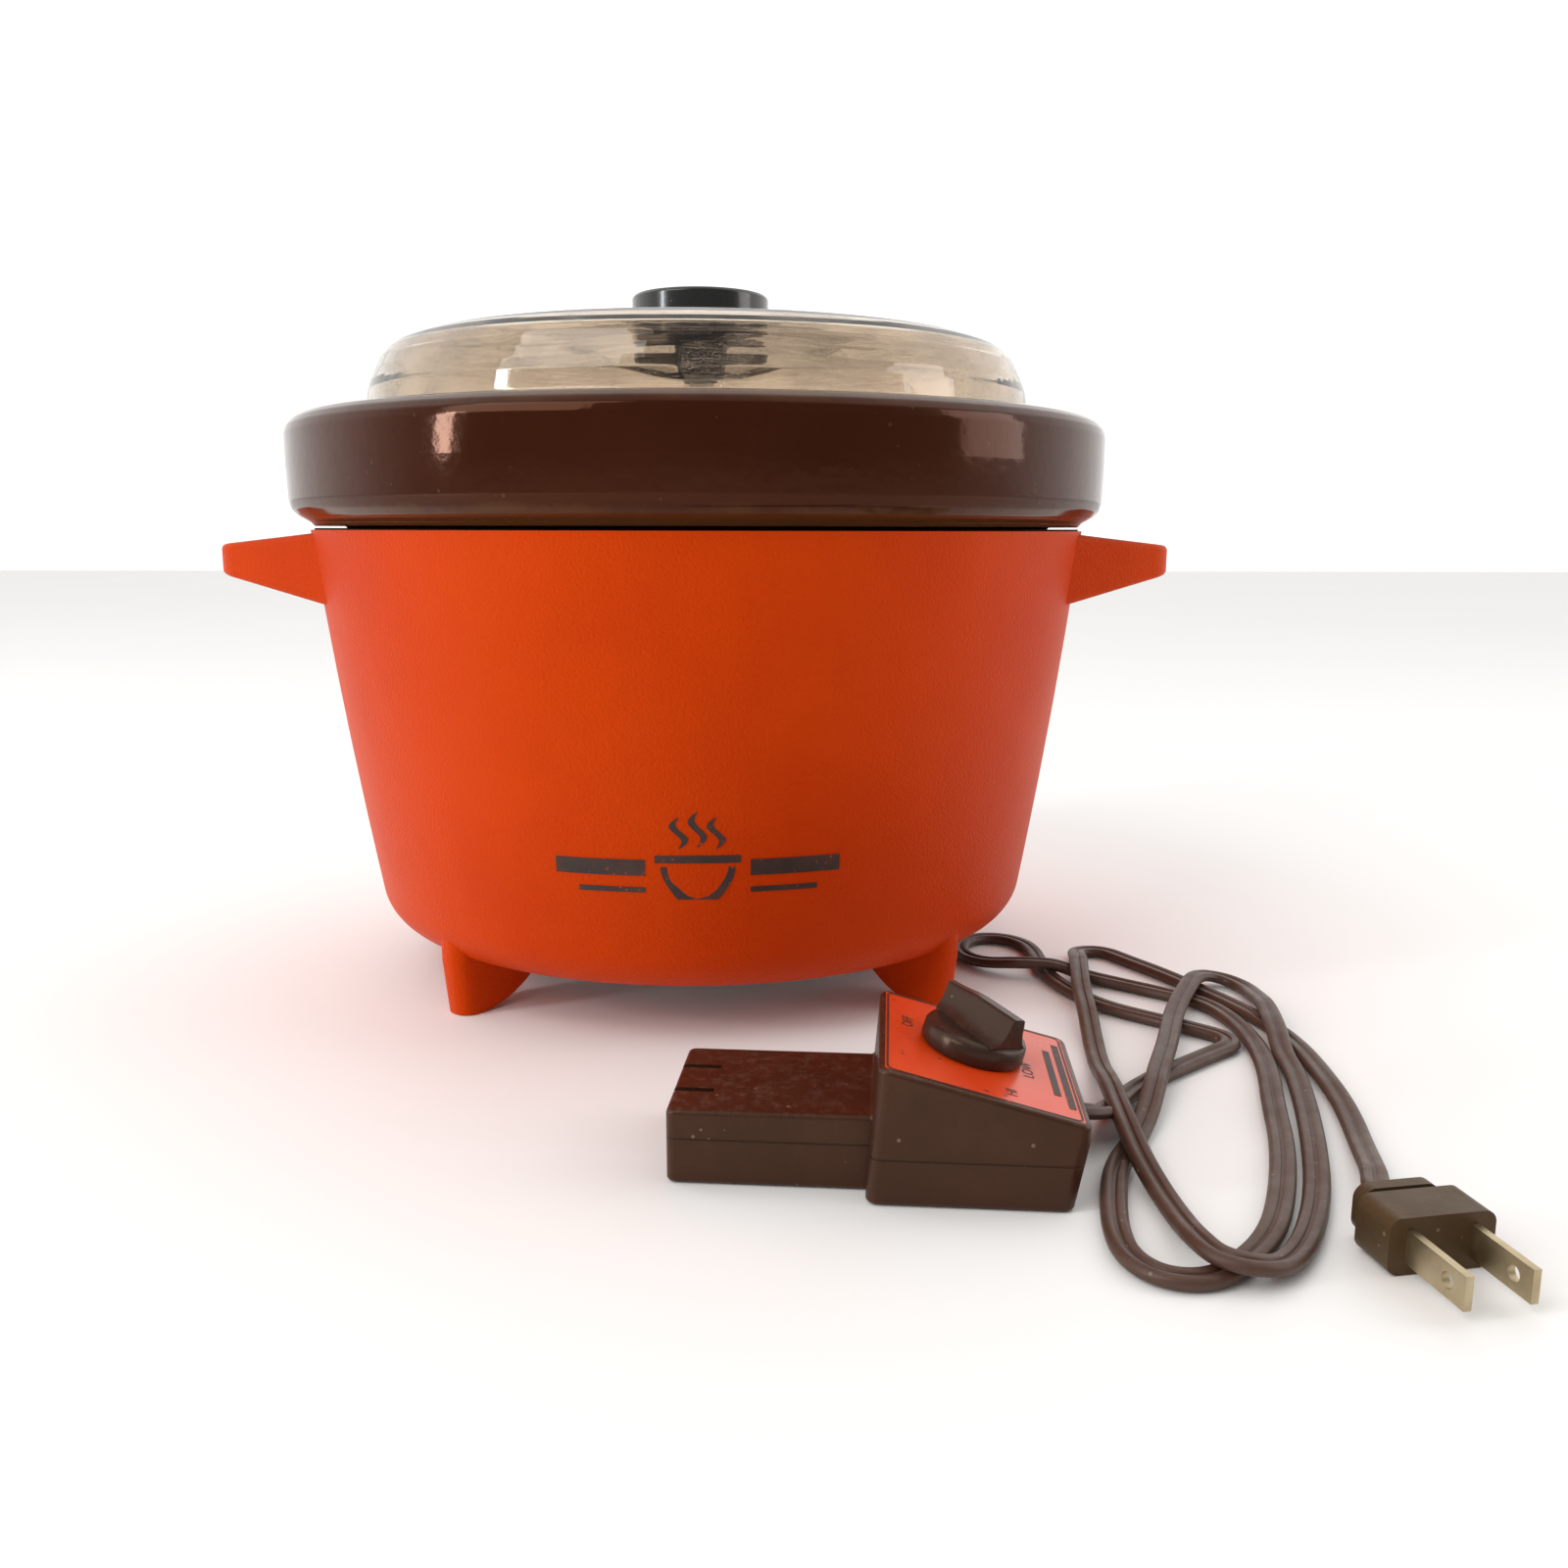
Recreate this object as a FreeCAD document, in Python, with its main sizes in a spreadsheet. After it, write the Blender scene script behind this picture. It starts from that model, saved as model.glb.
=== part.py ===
"""Slow cooker: a plastic housing on four feet, a lift-out stoneware crock, a clear lid
and a plug-in control unit that lies beside it on its flat twin lead.

Millimetres, +Z up, the front toward -Y.  The origin is on the table, on the cooker's axis.
"""
import FreeCAD, Part
import math
import os
import re
import Sketcher
from FreeCAD import Placement, Rotation, Vector

# ---------------------------------------------------------------- driving dimensions

SIZES = {
    # housing
    "base_z": 14.0, "base_edge": 97.3, "rim_z": 130.6, "rim_edge": 114.3, "wall": 3.0,
    "wall_bow": 1750.0, "base_round": 13.5, "cover_hole": 58.0,
    "ear_reach": 138.0, "ear_root": 98.0, "ear_root_half": 46.0, "ear_tip_half": 27.0,
    "ear_root_drop": 22.0, "ear_tip_top": 4.2, "ear_tip_drop": 12.4,
    "foot_in": 68.0, "foot_heel": 90.0, "foot_toe": 96.2, "foot_out": 98.0, "foot_thick": 10.0,
    "foot_bow": 30.0,
    # pan, heater and wrap between the housing and the crock
    "pan_floor": 41.0, "pan_gauge": 0.8, "pan_foot": 94.8, "pan_mouth": 105.8,
    "pan_flange": 113.2, "pan_round": 8.0,
    "heater_low": 48.0, "heater_high": 78.0, "heater_gauge": 1.4,
    "wrap_low": 50.0, "wrap_high": 122.0, "wrap_near": 1.6, "wrap_far": 3.3,
    "post_circle": 74.0, "post_radius": 4.0,
    "cover_edge": 66.0, "cover_gauge": 0.8, "cover_circle": 62.0,
    # crock
    "crock_floor": 44.5, "crock_foot": 93.2, "crock_neck": 104.4, "crock_seat": 131.6,
    "crock_wall": 7.0, "crock_inside": 53.0, "band_low": 136.0, "band_edge": 119.6,
    "band_under": 113.4, "band_top": 162.3, "band_inner": 107.6, "ledge_z": 157.6,
    # lid
    "lid_gauge": 2.4, "lid_flange": 103.8, "lid_seat": 158.0, "lid_base": 99.9,
    "lid_shoulder_z": 179.2, "lid_shoulder": 93.0, "lid_crown_z": 185.2, "dish_edge": 41.0,
    "dish_floor_z": 177.4, "dish_floor": 7.6, "dish_bow": 62.0,
    "knob_radius": 20.3, "knob_top": 199.2, "knob_edge_z": 190.2, "stem_top": 10.8,
    "stem_foot": 6.6, "lid_screw": 1.6,
    # inlet at the back of the housing
    "inlet_half": 18.2, "inlet_low": 20.5, "inlet_tall": 16.6, "inlet_wall": 2.0,
    "inlet_end": 66.0, "inlet_mouth": 100.0, "pin_pitch": 12.7, "pin_thick": 1.5,
    "pin_tall": 6.3, "pin_from": 60.0, "pin_to": 88.0, "pin_z": 28.8,
    # control unit, in its own frame: x away from the socket end, y across, z up
    "unit_x": 36.75, "unit_y": -157.05, "unit_turn": -6.8,
    "socket_long": 40.6, "socket_half": 17.5, "socket_tall": 15.6,
    "case_long": 41.0, "case_half": 23.85, "case_lean": 2.4, "case_flare": 2.8,
    "case_high": 28.6, "case_low": 17.8, "flare_z": 14.5, "parting": 9.6, "skin": 2.3,
    "slit_long": 8.6, "slit_wide": 1.8, "slit_low": 4.4, "exit_y": 3.5, "exit_radius": 2.95,
    "boss_y": 17.6, "boss_near": 8.6, "boss_far": 35.0, "boss_radius": 3.4,
    "plate_gauge": 0.6, "plate_edge": 1.1, "dial_s": 19.8, "dial_y": 1.0,
    "dial_radius": 11.0, "dial_disc": 5.2, "dial_tall": 11.6, "dial_heading": -52.0,
    "shaft_radius": 3.0, "shaft_clear": 0.05,
    # the cooker's axis lies this far behind the origin
    "axis_y": 32.9,
    # lead and plug
    "lead_wide": 5.4, "plug_x": 132.8, "plug_y": -194.0, "plug_turn": -82.0,
    "plug_long": 15.0, "plug_half": 10.6, "plug_tall": 11.0, "blade_long": 15.9,
    "blade_tall": 6.35, "blade_thick": 1.5, "blade_pitch": 12.7,
}

doc = FreeCAD.newDocument("slow_cooker")
sheet = doc.addObject("Spreadsheet::Sheet", "dims")
for row, (alias, value) in enumerate(SIZES.items(), start=1):
    sheet.set(f"A{row}", alias)
    sheet.set(f"B{row}", str(value))
    sheet.setAlias(f"B{row}", alias)
doc.recompute()

parts = {}          # node name -> document object


# ---------------------------------------------------------------- helpers

def bound(text):
    """The expression with each size name pointing at its cell in the sheet."""
    return re.sub(r"[a-z_]+", lambda m: f"dims.{m[0]}" if m[0] in SIZES else m[0], str(text))


def value(text):
    """The number that an expression in size names stands for now."""
    return float(sheet.evalExpression(re.sub(r"dims\.", "", bound(text))))


def bind(thing, **expressions):
    """Tie properties of an object to the sheet, by expression."""
    for name, text in expressions.items():
        thing.setExpression(name, bound(text))


def keep(name, thing, place=None):
    """Register a finished object as the node of that name.

    Everything is drawn about the cooker's axis.  The origin is at the bottom centre of the
    box round the cooker and its control unit, so each node is set back by axis_y.
    """
    thing.Label = name
    centre = Placement(Vector(0, value("axis_y"), 0), Rotation())
    thing.Placement = centre.multiply(thing.Placement if place is None else place)
    parts[name] = thing
    doc.recompute()
    return thing


def new_body(name):
    return doc.addObject("PartDesign::Body", name + "_body")


def outline(body, plane, corners, frame=None):
    """A closed sketch through corners (x, y[, radius]).

    x and y are expressions.  A radius makes the edge that starts at that corner an arc:
    positive bulges to the right of the way round, negative to the left.
    """
    sketch = body.newObject("Sketcher::SketchObject", "outline")
    base = [f for f in body.Origin.OriginFeatures if f.Role == plane + "_Plane"][0]
    sketch.AttachmentSupport = [(base, "")]
    sketch.MapMode = "FlatFace"
    if frame is not None:
        sketch.AttachmentOffset = frame
    points = [Vector(value(c[0]), value(c[1]), 0) for c in corners]
    ends = []
    for i, corner in enumerate(corners):
        start, end = points[i], points[(i + 1) % len(points)]
        if len(corner) == 2:
            ends.append((sketch.addGeometry(Part.LineSegment(start, end)), 1, 2))
            continue
        radius = value(corner[2])
        chord = end - start
        side = Vector(-chord.y, chord.x, 0).normalize()
        reach = math.sqrt(radius ** 2 - chord.Length ** 2 / 4)
        centre = (start + end) / 2 + side * math.copysign(reach, radius)
        first, last = (start, end) if radius > 0 else (end, start)
        turn = [math.atan2(p.y - centre.y, p.x - centre.x) for p in (first, last)]
        circle = Part.Circle(centre, Vector(0, 0, 1), abs(radius))
        arc = sketch.addGeometry(Part.ArcOfCircle(circle, turn[0], turn[1]))
        ends.append((arc, 1, 2) if radius > 0 else (arc, 2, 1))
    for i, corner in enumerate(corners):
        geo, first, last = ends[i]
        after = ends[(i + 1) % len(ends)]
        sketch.addConstraint(Sketcher.Constraint("Coincident", geo, last, after[0], after[1]))
        for way, axis, text, number in (("X", -2, corner[0], points[i].x),
                                        ("Y", -1, corner[1], points[i].y)):
            if abs(number) < 1e-9:
                sketch.addConstraint(Sketcher.Constraint("PointOnObject", geo, first, axis))
                continue
            rule = Sketcher.Constraint("Distance" + way, -1, 1, geo, first, number)
            index = sketch.addConstraint(rule)
            sketch.setExpression(f"Constraints[{index}]", bound(text))
        if len(corner) == 3:
            rule = Sketcher.Constraint("Radius", geo, abs(value(corner[2])))
            index = sketch.addConstraint(rule)
            sketch.setExpression(f"Constraints[{index}]", bound(f"abs({corner[2]})"))
    doc.recompute()
    return sketch


def turned(body, corners, cut=False):
    """Revolve an outline of (radius, height) corners about the body's Z axis."""
    sketch = outline(body, "XZ", corners)
    kind = "PartDesign::Groove" if cut else "PartDesign::Revolution"
    feature = body.newObject(kind, "turned")
    feature.Profile = sketch
    feature.ReferenceAxis = (sketch, ["V_Axis"])
    feature.Angle = 360
    doc.recompute()
    return feature


def slab(body, plane, corners, thick, frame=None, cut=False):
    """Pad or pocket an outline by thick, half to each side of its plane."""
    sketch = outline(body, plane, corners, frame)
    feature = body.newObject("PartDesign::Pocket" if cut else "PartDesign::Pad", "slab")
    feature.Profile = sketch
    bind(feature, Length=thick)
    feature.SideType = "Symmetric"
    doc.recompute()
    return feature


def box(body, low, size, cut=False, frame=None):
    """An additive or subtractive box with its low corner at low; all values are expressions."""
    feature = body.newObject("PartDesign::SubtractiveBox" if cut else "PartDesign::AdditiveBox", "box")
    bind(feature, Length=size[0], Width=size[1], Height=size[2])
    corner = Placement(Vector(*[value(c) for c in low]), Rotation())
    feature.Placement = corner if frame is None else frame.multiply(corner)
    doc.recompute()
    return feature


def drum(body, foot, radius, tall, cut=False, frame=None, axis=Vector(0, 0, 1)):
    """An additive or subtractive cylinder that starts at foot and runs along axis."""
    kind = "PartDesign::SubtractiveCylinder" if cut else "PartDesign::AdditiveCylinder"
    feature = body.newObject(kind, "drum")
    bind(feature, Radius=radius, Height=tall)
    place = Placement(Vector(*[value(c) for c in foot]), Rotation(Vector(0, 0, 1), axis))
    feature.Placement = place if frame is None else frame.multiply(place)
    doc.recompute()
    return feature


def soften(body, radius, pick):
    """Fillet the edges of the body's last feature that pick chooses."""
    last = body.Tip
    names = [f"Edge{i}" for i, edge in enumerate(last.Shape.Edges, start=1) if pick(edge)]
    if not names:
        raise RuntimeError(f"{body.Name}: no edge to round")
    feature = body.newObject("PartDesign::Fillet", "soften")
    feature.Base = (last, names)
    bind(feature, Radius=radius)
    doc.recompute()
    if "Invalid" in feature.State:
        raise RuntimeError(f"{body.Name}: cannot round {names} by {radius}")
    return feature


def ring(radius, height):
    """Pick circular edges about the Z axis by radius and height."""
    def pick(edge):
        spot = edge.Vertexes[0].Point
        return (edge.BoundBox.ZLength < 0.01 and abs(spot.z - value(height)) < 0.05
                and abs(math.hypot(spot.x, spot.y) - value(radius)) < 0.05)
    return pick


def any_of(*picks):
    return lambda edge: any(pick(edge) for pick in picks)


def make(kind, **expressions):
    """A Part primitive with its sizes tied to the sheet."""
    thing = doc.addObject("Part::" + kind, kind.lower())
    bind(thing, **expressions)
    return thing


def at(x, y, z, axis=Vector(0, 0, 1)):
    return Placement(Vector(value(x), value(y), value(z)), Rotation(Vector(0, 0, 1), axis))


def group(name, solids, place=None):
    """Separate solids that belong together, as one node."""
    thing = doc.addObject("Part::Compound", name + "_group")
    thing.Links = solids
    return keep(name, thing, place)


def join(*solids):
    thing = doc.addObject("Part::MultiFuse", "join")
    thing.Shapes = list(solids)
    return thing


def screw(foot, head_radius, head_tall, shank_radius, shank_long, axis=Vector(0, 0, 1)):
    """A pan-head screw: the head starts at foot and the shank runs on along axis."""
    head = make("Cylinder", Radius=head_radius, Height=head_tall)
    head.Placement = Placement(foot, Rotation(Vector(0, 0, 1), axis))
    shank = make("Cylinder", Radius=shank_radius, Height=f"{head_tall} + {shank_long}")
    shank.Placement = head.Placement
    return join(head, shank)


def round_wire(points, share=0.45):
    """Straight runs joined by tangent arcs, each as large as its two runs allow."""
    edges, radii = [], []
    here = points[0]
    for before, corner, after in zip(points, points[1:], points[2:]):
        back, on = before - corner, after - corner
        half_turn = (math.pi - back.getAngle(on)) / 2
        trim = share * min(back.Length, on.Length)
        radius = trim / math.tan(half_turn)
        inward = (back.normalize() + on.normalize()).normalize()
        start, end = corner + back * trim, corner + on * trim
        crown = corner + inward * (radius / math.cos(half_turn) - radius)
        edges.append(Part.LineSegment(here, start).toShape())
        edges.append(Part.Arc(start, crown, end).toShape())
        radii.append(radius)
        here = end
    edges.append(Part.LineSegment(here, points[-1]).toShape())
    return Part.Wire(edges), radii


def tube(points, radius):
    """A round tube along the points, and the radii of its bends."""
    wire, radii = round_wire(points)
    circle = Part.Circle(points[0], points[1] - points[0], radius)
    section = Part.Wire(circle.toShape())
    solid = wire.makePipeShell([section], True, False)
    return solid, wire, radii


# ---------------------------------------------------------------- frames of the loose pieces

UNIT = Placement(Vector(value("unit_x"), value("unit_y"), 0),
                 Rotation(Vector(0, 0, 1), value("unit_turn")))
SLOPE = math.degrees(math.atan2(value("case_high - case_low"),
                                value("case_long + case_flare - case_lean")))
# the sloped top of the control unit: s down the slope, y across, z out of the top
TOP = Placement(Vector(value("case_lean"), 0, value("case_high")),
                Rotation(Vector(0, 1, 0), SLOPE))
DIAL = TOP.multiply(Placement(Vector(value("dial_s"), value("dial_y"), 0), Rotation()))
PLUG = Placement(Vector(value("plug_x"), value("plug_y"), 0),
                 Rotation(Vector(0, 0, 1), value("plug_turn")))


# ---------------------------------------------------------------- housing

def housing():
    """One moulding: bowl-shaped wall, flat floor, two ears and four feet."""
    body = new_body("housing")
    turned(body, [
        (0, "base_z"), ("base_edge", "base_z", "wall_bow"), ("rim_edge", "rim_z"), (0, "rim_z")])
    soften(body, "base_round", ring("base_edge", "base_z"))
    for side in (0, 180):
        ear(body, side)
    for turn in (45, 135, 225, 315):
        foot(body, turn)
    # the hollow inside, open at the top, and the hole in the floor
    turned(body, [
        (0, "base_z + wall"), ("base_edge - wall", "base_z + wall", "wall_bow"),
        ("rim_edge - wall", "rim_z"), ("rim_edge - wall", "rim_z + 1"), (0, "rim_z + 1")], cut=True)
    soften(body, "base_round - wall", ring("base_edge - wall", "base_z + wall"))
    drum(body, (0, 0, "base_z - 1"), "cover_hole", "wall + 2", cut=True)
    box(body, ("-inlet_half - inlet_wall", "inlet_end - 6", "inlet_low - inlet_wall"),
        ("2 * (inlet_half + inlet_wall)", "inlet_mouth - inlet_end + 12",
         "inlet_tall + 2 * inlet_wall"), cut=True)
    for x, y in spots("post_circle", POST_TURNS):
        drum(body, (x, y, "base_z - 1"), 1.9, "wall + 2", cut=True)
    for x, y in spots("cover_circle", COVER_TURNS):
        drum(body, (x, y, "base_z - 1"), 1.5, "wall + 2", cut=True)
    return keep("housing", body)


POST_TURNS = (-90, 30, 150)
COVER_TURNS = (0, 90, 180, 270)


def spots(circle, turns):
    """Points around a circle about the cooker's axis."""
    reach = value(circle)
    return [(reach * math.cos(math.radians(t)), reach * math.sin(math.radians(t))) for t in turns]


def ear(body, side):
    """A wedge-shaped grip: deep and wide at the wall, thin and narrower at the tip, hollow below."""
    way = Placement(Vector(), Rotation(Vector(0, 0, 1), side))
    slices = [
        ("ear_root", "ear_root_half", "rim_z - ear_root_drop", "rim_z"),
        ("ear_reach", "ear_tip_half", "rim_z - ear_tip_drop", "rim_z - ear_tip_top")]
    wedge(body, slices, way)
    reach = value("ear_reach")
    tip = value("ear_tip_half")

    def tip_corner(edge):
        middle = way.inverse().multVec(edge.CenterOfMass)
        return abs(middle.x - reach) < 0.5 and abs(abs(middle.y) - tip) < 0.5

    soften(body, 9.0, tip_corner)

    def long_edge(edge):
        middle = way.inverse().multVec(edge.CenterOfMass)
        flat = edge.BoundBox.ZLength
        return middle.x > value("rim_edge") + 4 and flat < 30 and (
            abs(middle.z - value("rim_z")) < 6 or abs(middle.z - value("rim_z - ear_tip_drop")) < 8)

    soften(body, 1.6, long_edge)
    wedge(body, [
        ("rim_edge + 2.4", "ear_root_half - 13", "rim_z - 40", "rim_z - wall"),
        ("ear_reach - wall", "ear_tip_half - wall", "rim_z - 40",
         "rim_z - ear_tip_top - wall")], way, cut=True)


def wedge(body, slices, way, cut=False):
    """A loft between upright rectangles (x, half width, low z, high z)."""
    sections = []
    for x, half, low, high in slices:
        frame = Placement(Vector(0, 0, value(x)), Rotation())
        if way.Rotation.Angle > 1:
            frame = Placement(Vector(0, 0, -value(x)), Rotation())
        sections.append(outline(body, "YZ", [
            (f"-({half})", low), (half, low), (half, high), (f"-({half})", high)], frame))
    kind = "PartDesign::SubtractiveLoft" if cut else "PartDesign::AdditiveLoft"
    feature = body.newObject(kind, "wedge")
    feature.Profile = sections[0]
    feature.Sections = sections[1:]
    feature.Ruled = True
    doc.recompute()
    return feature


def foot(body, turn):
    """A blade-like foot that points away from the axis, with a bowed heel."""
    frame = Placement(Vector(), Rotation(Vector(0, 1, 0), turn))
    slab(body, "XZ", [
        ("foot_in", "base_z + 4"), ("foot_in", "base_z", "foot_bow"), ("foot_heel", 0),
        ("foot_toe", 0), ("foot_out", "base_z + 1"), ("foot_out", "base_z + 9")],
        "foot_thick", frame)
    out = Vector(math.cos(math.radians(turn)), math.sin(math.radians(turn)), 0)

    def nose(edge):
        middle = edge.CenterOfMass
        along = middle.dot(out)
        return along > value("foot_toe") - 0.5 and edge.BoundBox.ZLength > 3 and middle.z < 22 \
            and abs(abs(middle.cross(out).z) - value("foot_thick") / 2) < 0.3

    soften(body, 4.4, nose)


def bottom_cover():
    """A thin steel disc under the hole in the floor."""
    body = new_body("bottom_cover")
    drum(body, (0, 0, "base_z - cover_gauge"), "cover_edge", "cover_gauge")
    for x, y in spots("cover_circle", COVER_TURNS):
        drum(body, (x, y, "base_z - 2"), 1.9, 4, cut=True)
    return keep("bottom_cover", body)


# ---------------------------------------------------------------- pan, heater and wrap

def heater_pan():
    """The spun aluminium pan that the crock stands in; its flange lies on the housing's rim."""
    body = new_body("heater_pan")
    turned(body, [
        (0, "pan_floor"), ("pan_foot + pan_gauge", "pan_floor"),
        ("pan_mouth + pan_gauge", "rim_z"), ("pan_flange", "rim_z"),
        ("pan_flange", "rim_z + pan_gauge * 0.6"), ("pan_mouth", "rim_z + pan_gauge * 0.6"),
        ("pan_foot", "pan_floor + pan_gauge"), (0, "pan_floor + pan_gauge")])
    soften(body, "pan_round + pan_gauge", ring("pan_foot + pan_gauge", "pan_floor"))
    soften(body, "pan_round", ring("pan_foot", "pan_floor + pan_gauge"))
    return keep("heater_pan", body)


def pan_side(height, off):
    """The radius, as an expression, at some height, that far outside the pan's wall."""
    lean = "(pan_mouth - pan_foot) / (rim_z - pan_floor)"
    return f"pan_foot + pan_gauge + ({height} - pan_floor) * {lean} + {off}"


def sleeve(name, low, high, near, far):
    """A band round the pan between two heights and two distances from its wall."""
    body = new_body(name)
    turned(body, [(pan_side(low, near), low), (pan_side(low, far), low),
                  (pan_side(high, far), high), (pan_side(high, near), high)])
    return keep(name, body)


def posts():
    """Three pillars between the floor and the pan, and the screws up into them."""
    solids, screws = [], []
    for x, y in spots("post_circle", POST_TURNS):
        pillar = make("Cylinder", Radius="post_radius", Height="pan_floor - base_z - wall")
        pillar.Placement = at(x, y, "base_z + wall")
        bore = make("Cylinder", Radius=1.7, Height=14)
        bore.Placement = at(x, y, "base_z + wall")
        post = doc.addObject("Part::Cut", "post")
        post.Base, post.Tool = pillar, bore
        solids.append(post)
        screws.append(screw(Vector(x, y, value("base_z - 2")), 3.4, 2.0, 1.7, 14))
    group("pan_posts", solids)
    group("post_screws", screws)
    group("cover_screws", [
        screw(Vector(x, y, value("base_z - cover_gauge - 1.6")), 3.0, 1.6, 1.5, 6)
        for x, y in spots("cover_circle", COVER_TURNS)])


# ---------------------------------------------------------------- inlet at the back

def inlet():
    """A moulded pocket with two flat pins that the control unit's socket end slides over."""
    body = new_body("inlet_shroud")
    box(body, ("-inlet_half - inlet_wall", "inlet_end - inlet_wall", "inlet_low - inlet_wall"),
        ("2 * (inlet_half + inlet_wall)", "inlet_mouth - inlet_end + inlet_wall",
         "inlet_tall + 2 * inlet_wall"))
    box(body, ("-inlet_half", "inlet_end", "inlet_low"),
        ("2 * inlet_half", "inlet_mouth - inlet_end + 1", "inlet_tall"), cut=True)
    for x in pin_places():
        pin_box(body, x, cut=True)
    keep("inlet_shroud", body)

    body = new_body("terminal_block")
    box(body, (-14, "inlet_end - inlet_wall - 9", "inlet_low + 1"), (28, 9, "inlet_tall - 2"))
    for x in pin_places():
        pin_box(body, x, cut=True)
    keep("terminal_block", body)

    pins = []
    for x in pin_places():
        pin = make("Box", Length="pin_thick", Width="pin_to - pin_from", Height="pin_tall")
        pin.Placement = at(f"{x} - pin_thick / 2", "pin_from", "pin_z - pin_tall / 2")
        pins.append(pin)
    group("inlet_pins", pins)

    leads = []
    for side in (-1, 1):
        route = [(14, 59, 29), (24, 59, 29), (46, 62, 26), (64.9, 64.9, 31.5), (69.1, 69.3, 43),
                 (69.15, 69.15, "heater_low")]
        points = [Vector(side * x, y, value(z)) for x, y, z in route]
        lead = doc.addObject("Part::Feature", "supply_lead")
        lead.Shape = tube(points, 1.1)[0]
        leads.append(lead)
    group("supply_leads", leads)


def pin_places():
    return (value("-pin_pitch / 2"), value("pin_pitch / 2"))


def pin_box(body, x, cut):
    box(body, (f"{x} - pin_thick / 2", "pin_from", "pin_z - pin_tall / 2"),
        ("pin_thick", "pin_to - pin_from", "pin_tall"), cut=cut)


# ---------------------------------------------------------------- crock and lid

def crock():
    """Stoneware pot with a heavy band round its rim and a ledge inside it for the lid."""
    body = new_body("crock")
    turned(body, [
        (0, "crock_floor"), ("crock_foot", "crock_floor"), ("crock_neck", "crock_seat"),
        ("band_under", "crock_seat"), ("band_edge", "band_low"),
        ("band_edge + 0.4", "band_top"), ("band_inner", "band_top"),
        ("crock_neck + 0.6", "ledge_z"), ("crock_neck - crock_wall", "ledge_z"),
        ("crock_foot - crock_wall", "crock_inside"), (0, "crock_inside")])
    soften(body, 9.0, ring("crock_foot", "crock_floor"))
    soften(body, 10.0, ring("crock_foot - crock_wall", "crock_inside"))
    soften(body, 6.0, ring("band_edge + 0.4", "band_top"))
    soften(body, 2.4, any_of(ring("band_inner", "band_top"), ring("band_edge", "band_low"),
                             ring("crock_neck - crock_wall", "ledge_z")))
    return keep("crock", body)


def lid():
    """Clear moulded cover: leaning wall, round shoulder, flat crown and a dished middle."""
    body = new_body("lid")
    turned(body, [
        ("lid_screw + 0.2", "dish_floor_z"), ("lid_screw + 0.2", "dish_floor_z - lid_gauge"),
        ("dish_floor", "dish_floor_z - lid_gauge", "dish_bow"),
        ("dish_edge", "lid_crown_z - lid_gauge"),
        ("lid_shoulder - lid_gauge - 8", "lid_crown_z - lid_gauge - 0.6"),
        ("lid_shoulder - lid_gauge", "lid_shoulder_z - lid_gauge"),
        ("lid_base - lid_gauge", "lid_seat + lid_gauge"), ("lid_base - 1", "lid_seat"),
        ("lid_flange", "lid_seat"), ("lid_flange", "lid_seat + lid_gauge"),
        ("lid_base", "lid_seat + lid_gauge"), ("lid_shoulder", "lid_shoulder_z"),
        ("lid_shoulder - 8", "lid_crown_z - 0.6"),
        ("dish_edge + 0.6", "lid_crown_z", "-dish_bow"), ("dish_floor", "dish_floor_z")])
    soften(body, 6.0, any_of(ring("lid_shoulder", "lid_shoulder_z"),
                             ring("lid_shoulder - 8", "lid_crown_z - 0.6")))
    return keep("lid", body)


def lid_knob():
    """A turned knob: a shallow disc on a flared stem that stands in the lid's dish."""
    body = new_body("lid_knob")
    turned(body, [
        (0, "dish_floor_z"), ("stem_foot", "dish_floor_z"), ("stem_top - 2.6", "knob_edge_z - 3"),
        ("stem_top", "knob_edge_z - 1"), ("knob_radius - 1.6", "knob_edge_z - 1"),
        ("knob_radius", "knob_edge_z"), ("knob_radius", "knob_top - 0.5"),
        ("knob_radius - 3", "knob_top - 0.5"), ("knob_radius - 3.6", "knob_top - 0.9"),
        (0, "knob_top - 0.9")])
    soften(body, 1.2, ring("knob_radius", "knob_top - 0.5"))
    drum(body, (0, 0, "dish_floor_z - 1"), "lid_screw", 13, cut=True)
    keep("lid_knob", body)

    washer = make("Cylinder", Radius=5.0, Height=0.8)
    washer.Placement = at(0, 0, "dish_floor_z - lid_gauge - 0.8")
    hole = make("Cylinder", Radius="lid_screw", Height=2)
    hole.Placement = at(0, 0, "dish_floor_z - lid_gauge - 1.5")
    cut = doc.addObject("Part::Cut", "washer")
    cut.Base, cut.Tool = washer, hole
    keep("lid_washer", cut)
    foot = Vector(0, 0, value("dish_floor_z - lid_gauge - 0.8 - 1.9"))
    keep("lid_screw", screw(foot, 3.6, 1.9, "lid_screw", 14))


# ---------------------------------------------------------------- control unit

def case_x(side, height):
    """Where the case's near (0) or far (1) end stands at some height, as an expression."""
    near = f"case_lean * ({height}) / case_high"
    far = f"case_long + case_flare * min({height}; flare_z) / flare_z"
    return far if side else near


BOSSES = (("boss_near", "-boss_y"), ("boss_near", "boss_y"),
          ("boss_far", "-boss_y"), ("boss_far", "boss_y"))


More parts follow.
